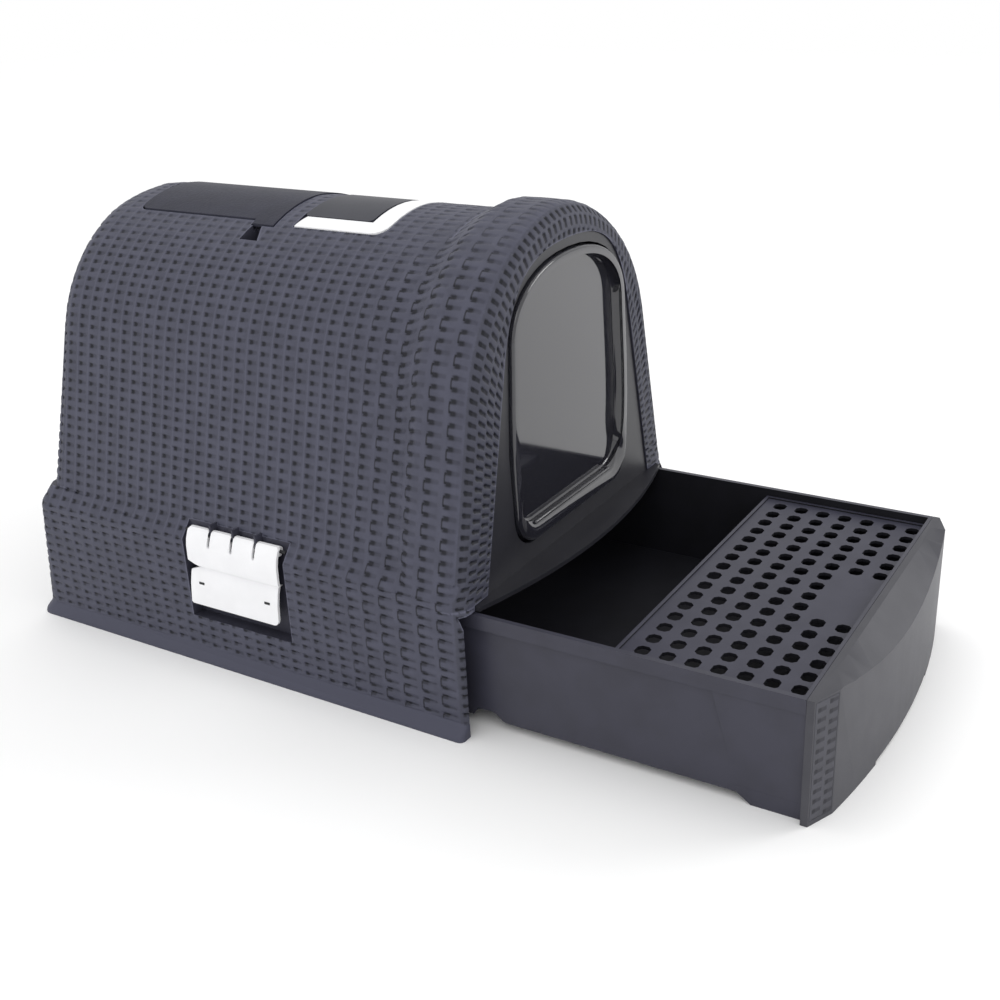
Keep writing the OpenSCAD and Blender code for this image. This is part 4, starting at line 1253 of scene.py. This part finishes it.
@dataclass
class Drawer:
    """Litter drawer with painted shade on its inside, bowed front, woven corner strips and step grid."""

    dressing: Dressing
    wall: float = 3 * MM
    end_wall: float = 0.5 * MM
    rim: float = 1.2 * MM
    underside: float = 1 * MM
    floor_faces_up: float = 0.7
    floor_share: float = 0.7
    inward_share: float = 0.3
    wall_faces_down: float = -0.2
    hole_face: float = 0.6
    grid_edge: float = 1 * MM
    tray_rounding: float = 0.8 * MM
    front_rounding: float = 1.0 * MM
    grid_rounding: float = 0.6 * MM

    def __post_init__(self) -> None:
        """Read the boxes of the tray and the grid."""
        self.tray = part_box("drawer_tray")
        self.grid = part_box("step_grid")

    def tray_inside(self, middle: Vector, normal: Vector) -> bool:
        """Whether a face of the tray looks inwards, and so takes the painted shade of the inside.

        Args:
            middle: The face's middle.
            normal: Its normal.

        Returns:
            True on the tray's floor and on the inner faces of its walls, below the rim.
        """
        low, high = self.tray
        if middle.z > high.z - self.rim or middle.z < self.underside:
            return False
        if normal.z > self.floor_faces_up:
            end = min(middle.y - low.y, high.y - middle.y)
            return high.x - abs(middle.x) > self.wall and end > self.end_wall and middle.z < high.z * self.floor_share
        centre = (low + high) / 2
        inward = (centre.x - middle.x) * normal.x + (centre.y - middle.y) * normal.y
        least = self.inward_share * abs(centre.x - middle.x) * abs(normal.x)
        return inward > least and normal.z > self.wall_faces_down

    def hole_wall(self, middle: Vector, normal: Vector) -> bool:
        """Whether a face of the grid lies in a hole or below, and so takes the painted shade."""
        low, high = self.grid
        inner = abs(middle.x) < high.x - self.grid_edge
        inner &= low.y + self.grid_edge < middle.y < high.y - self.grid_edge
        return normal.z < self.hole_face and inner

    def build(self) -> None:
        """Dress the drawer's nodes, whose finely divided faces keep their divisions."""
        # The tray's inner faces and the grid's hole walls are painted near black as shade.
        inside = Finish.INSIDE_SHADE
        for node, body, finish, width, slot, second, test in (
            ("drawer_tray", "drawer", Finish.DRAWER, self.tray_rounding, "drawer_plastic", inside, self.tray_inside),
            ("drawer_front", "drawer", Finish.DRAWER_FRONT, self.front_rounding, "drawer_plastic", None, None),
            ("step_grid", "step", Finish.GRID, self.grid_rounding, "grid_plastic", inside, self.hole_wall),
        ):
            self.dressing.moulded(node, body, finish, width, slot, second, test, whole=False)
        for node in ("corner_strip_left", "corner_strip_right"):
            self.dressing.paint(node, Finish.WOVEN_STRIP)


# ---------------------------------------------------------------------------
# Studio
# ---------------------------------------------------------------------------


@dataclass(frozen=True)
class Viewpoint:
    """Where the photograph was taken from, as fitted to the object's edges."""

    place: tuple[float, float, float] = (-0.91043, -0.74992, 0.59485)
    pitch: float = 23.69
    yaw: float = 29.77
    roll: float = -1.62
    lens: float = 46.18
    shift: tuple[float, float] = (-0.0617, 0.0006)

    def camera(self) -> None:
        """Make the camera and set it as the scene's."""
        pitch, yaw, roll = (math.radians(a) for a in (self.pitch, self.yaw, self.roll))
        ahead = Vector((math.cos(yaw) * math.cos(pitch), math.sin(yaw) * math.cos(pitch), -math.sin(pitch)))
        level = Vector((math.sin(yaw), -math.cos(yaw), 0))
        upright = level.cross(ahead)
        right = level * math.cos(roll) + upright * math.sin(roll)
        up = upright * math.cos(roll) - level * math.sin(roll)
        data = bpy.data.cameras.new("photo_view")
        data.lens = self.lens
        data.sensor_width = 36.0
        data.shift_x, data.shift_y = self.shift
        camera = bpy.data.objects.new("photo_view", data)
        turn = Matrix((right, up, -ahead)).transposed()
        camera.matrix_world = Matrix.Translation(Vector(self.place)) @ turn.to_4x4()
        bpy.context.scene.collection.objects.link(camera)
        bpy.context.scene.camera = camera


@dataclass(frozen=True)
class Softbox:
    """One soft lamp that looks at the box."""

    name: str
    place: tuple[float, float, float]
    size: float
    watts: float

    def light(self, target: Vector) -> None:
        """Hang the lamp, turned towards the target."""
        data = bpy.data.lights.new(self.name, "AREA")
        data.shape = "DISK"
        data.size = self.size
        data.energy = self.watts
        lamp = bpy.data.objects.new(self.name, data)
        lamp.location = self.place
        lamp.rotation_mode = "QUATERNION"
        lamp.rotation_quaternion = (target - Vector(self.place)).to_track_quat("-Z", "Y")
        bpy.context.scene.collection.objects.link(lamp)


@dataclass
class Studio:
    """Plain white studio round the box."""

    aim: tuple[float, float, float] = (0.0, -0.1, 0.15)
    ambient: float = 1.0
    background: float = 1.0
    floor_half: float = 6.0
    floor_gap: float = 0.2 * MM
    lamps: tuple[Softbox, ...] = (
        Softbox("key", (-1.6, -0.9, 2.0), 1.2, 4.0),
        Softbox("top", (0.2, 0.4, 2.4), 1.4, 4.0),
        Softbox("front", (1.4, -1.9, 1.1), 1.0, 12.0),
    )

    def build(self) -> None:
        """Make the floor, the world and the lamps."""
        self.floor()
        self.world()
        for lamp in self.lamps:
            lamp.light(Vector(self.aim))
        bpy.context.scene.view_settings.view_transform = "Standard"

    def floor(self) -> None:
        """Lay the floor."""
        bm = bmesh.new()
        bmesh.ops.create_grid(bm, x_segments=2, y_segments=2, size=self.floor_half)
        mesh = bpy.data.meshes.new("floor")
        bm.to_mesh(mesh)
        bm.free()
        floor = bpy.data.objects.new("floor", mesh)
        floor.location = (0, 0, -self.floor_gap)
        mesh.materials.append(StudioPaper().material("studio_paper"))
        bpy.context.scene.collection.objects.link(floor)

    def world(self) -> None:
        """Light the scene evenly, and show white where the camera or a reflection looks past the floor."""
        world = bpy.data.worlds.new("studio")
        world.use_nodes = True
        nodes, links = world.node_tree.nodes, world.node_tree.links
        nodes.clear()
        out = nodes.new("ShaderNodeOutputWorld")
        mixer = nodes.new("ShaderNodeMixShader")
        for strength, socket in ((self.ambient, 1), (self.background, 2)):
            shade = nodes.new("ShaderNodeBackground")
            shade.inputs["Color"].default_value = (1, 1, 1, 1)
            shade.inputs["Strength"].default_value = strength
            links.new(shade.outputs[0], mixer.inputs[socket])
        path = nodes.new("ShaderNodeLightPath")
        seen = path.outputs["Is Camera Ray"]
        for other in ("Is Transmission Ray", "Is Glossy Ray"):
            larger = nodes.new("ShaderNodeMath")
            larger.operation = "MAXIMUM"
            links.new(seen, larger.inputs[0])
            links.new(path.outputs[other], larger.inputs[1])
            seen = larger.outputs[0]
        links.new(seen, mixer.inputs[0])
        links.new(mixer.outputs[0], out.inputs[0])
        bpy.context.scene.world = world


FINISHES = {
    Finish.WOVEN: WovenPlastic(),
    Finish.WOVEN_STRIP: WovenStrip(),
    Finish.INNER: MouldedPlastic("3E3E4A", "393944", roughness=0.5, specular=0.25),
    Finish.FRAME: MouldedPlastic("25252B", "212127", roughness=0.4, specular=0.45),
    Finish.PAD: MouldedPlastic("32333C", "2E2F38", roughness=0.48, specular=0.3),
    Finish.DRAWER: MouldedPlastic("393945", "353540", roughness=0.42),
    Finish.DRAWER_FRONT: MouldedPlastic("434349", "3E3E44", specular=0.3),
    # Painted shade for the inside of the tray and the grid's holes.
    Finish.INSIDE_SHADE: MouldedPlastic("1D1D23", "1A1A1F", roughness=0.6, specular=0.2),
    Finish.GRID: MouldedPlastic("3A3A47", "353542", roughness=0.48, specular=0.3),
    Finish.HATCH: MouldedPlastic(
        "2C2D3B", "272835", roughness=0.55, specular=0.25, grain=2.6 * MM, grain_depth=0.3 * MM
    ),
    # Dark plastic for the hidden pieces, and painted shade in the clips' slits.
    Finish.DARK: MouldedPlastic("1E1E22", "1A1A1E"),
    Finish.WHITE: MouldedPlastic("F4F4F6", "F0F0F2", roughness=0.3, grain_depth=0.008 * MM),
    Finish.SMOKED: SmokedPlastic(),
}

# Plain moulded pieces: node, body, finish, rounding of the edges, slot.
MOULDED = (
    ("front_frame", "hood", Finish.FRAME, 0.8 * MM, "smooth_plastic"),
    ("handle_plate", "hood", Finish.PAD, 0.8 * MM, "smooth_plastic"),
    ("carry_handle", "handle", Finish.WHITE, 1.2 * MM, "white_plastic"),
    ("hatch_lid", "hatch", Finish.HATCH, 0.7 * MM, "grid_plastic"),
)

# Pieces that keep their own shape, nearly all hidden.
KEPT = (
    "base_pan", "runner_left", "runner_right", "door_pins", "handle_pins", "storage_bin", "hatch_pin",
    "clip_pin_left", "clip_pin_right",
)


def main() -> None:
    """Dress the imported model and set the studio."""
    logging.basicConfig(level=logging.INFO, format="%(message)s")
    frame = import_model()
    dressing = Dressing(frame, {key: finish.material(key.value) for key, finish in FINISHES.items()})
    Viewpoint().camera()
    Studio().build()
    WovenHood(dressing).build()
    SwingDoor(dressing).build()
    SideClip(dressing, -1).build()
    SideClip(dressing, 1).build()
    Drawer(dressing).build()
    for node, body, finish, width, slot in MOULDED:
        dressing.moulded(node, body, finish, width, slot)
    for node in KEPT:
        dressing.paint(node, Finish.DARK)


if __name__ == "__main__":
    main()
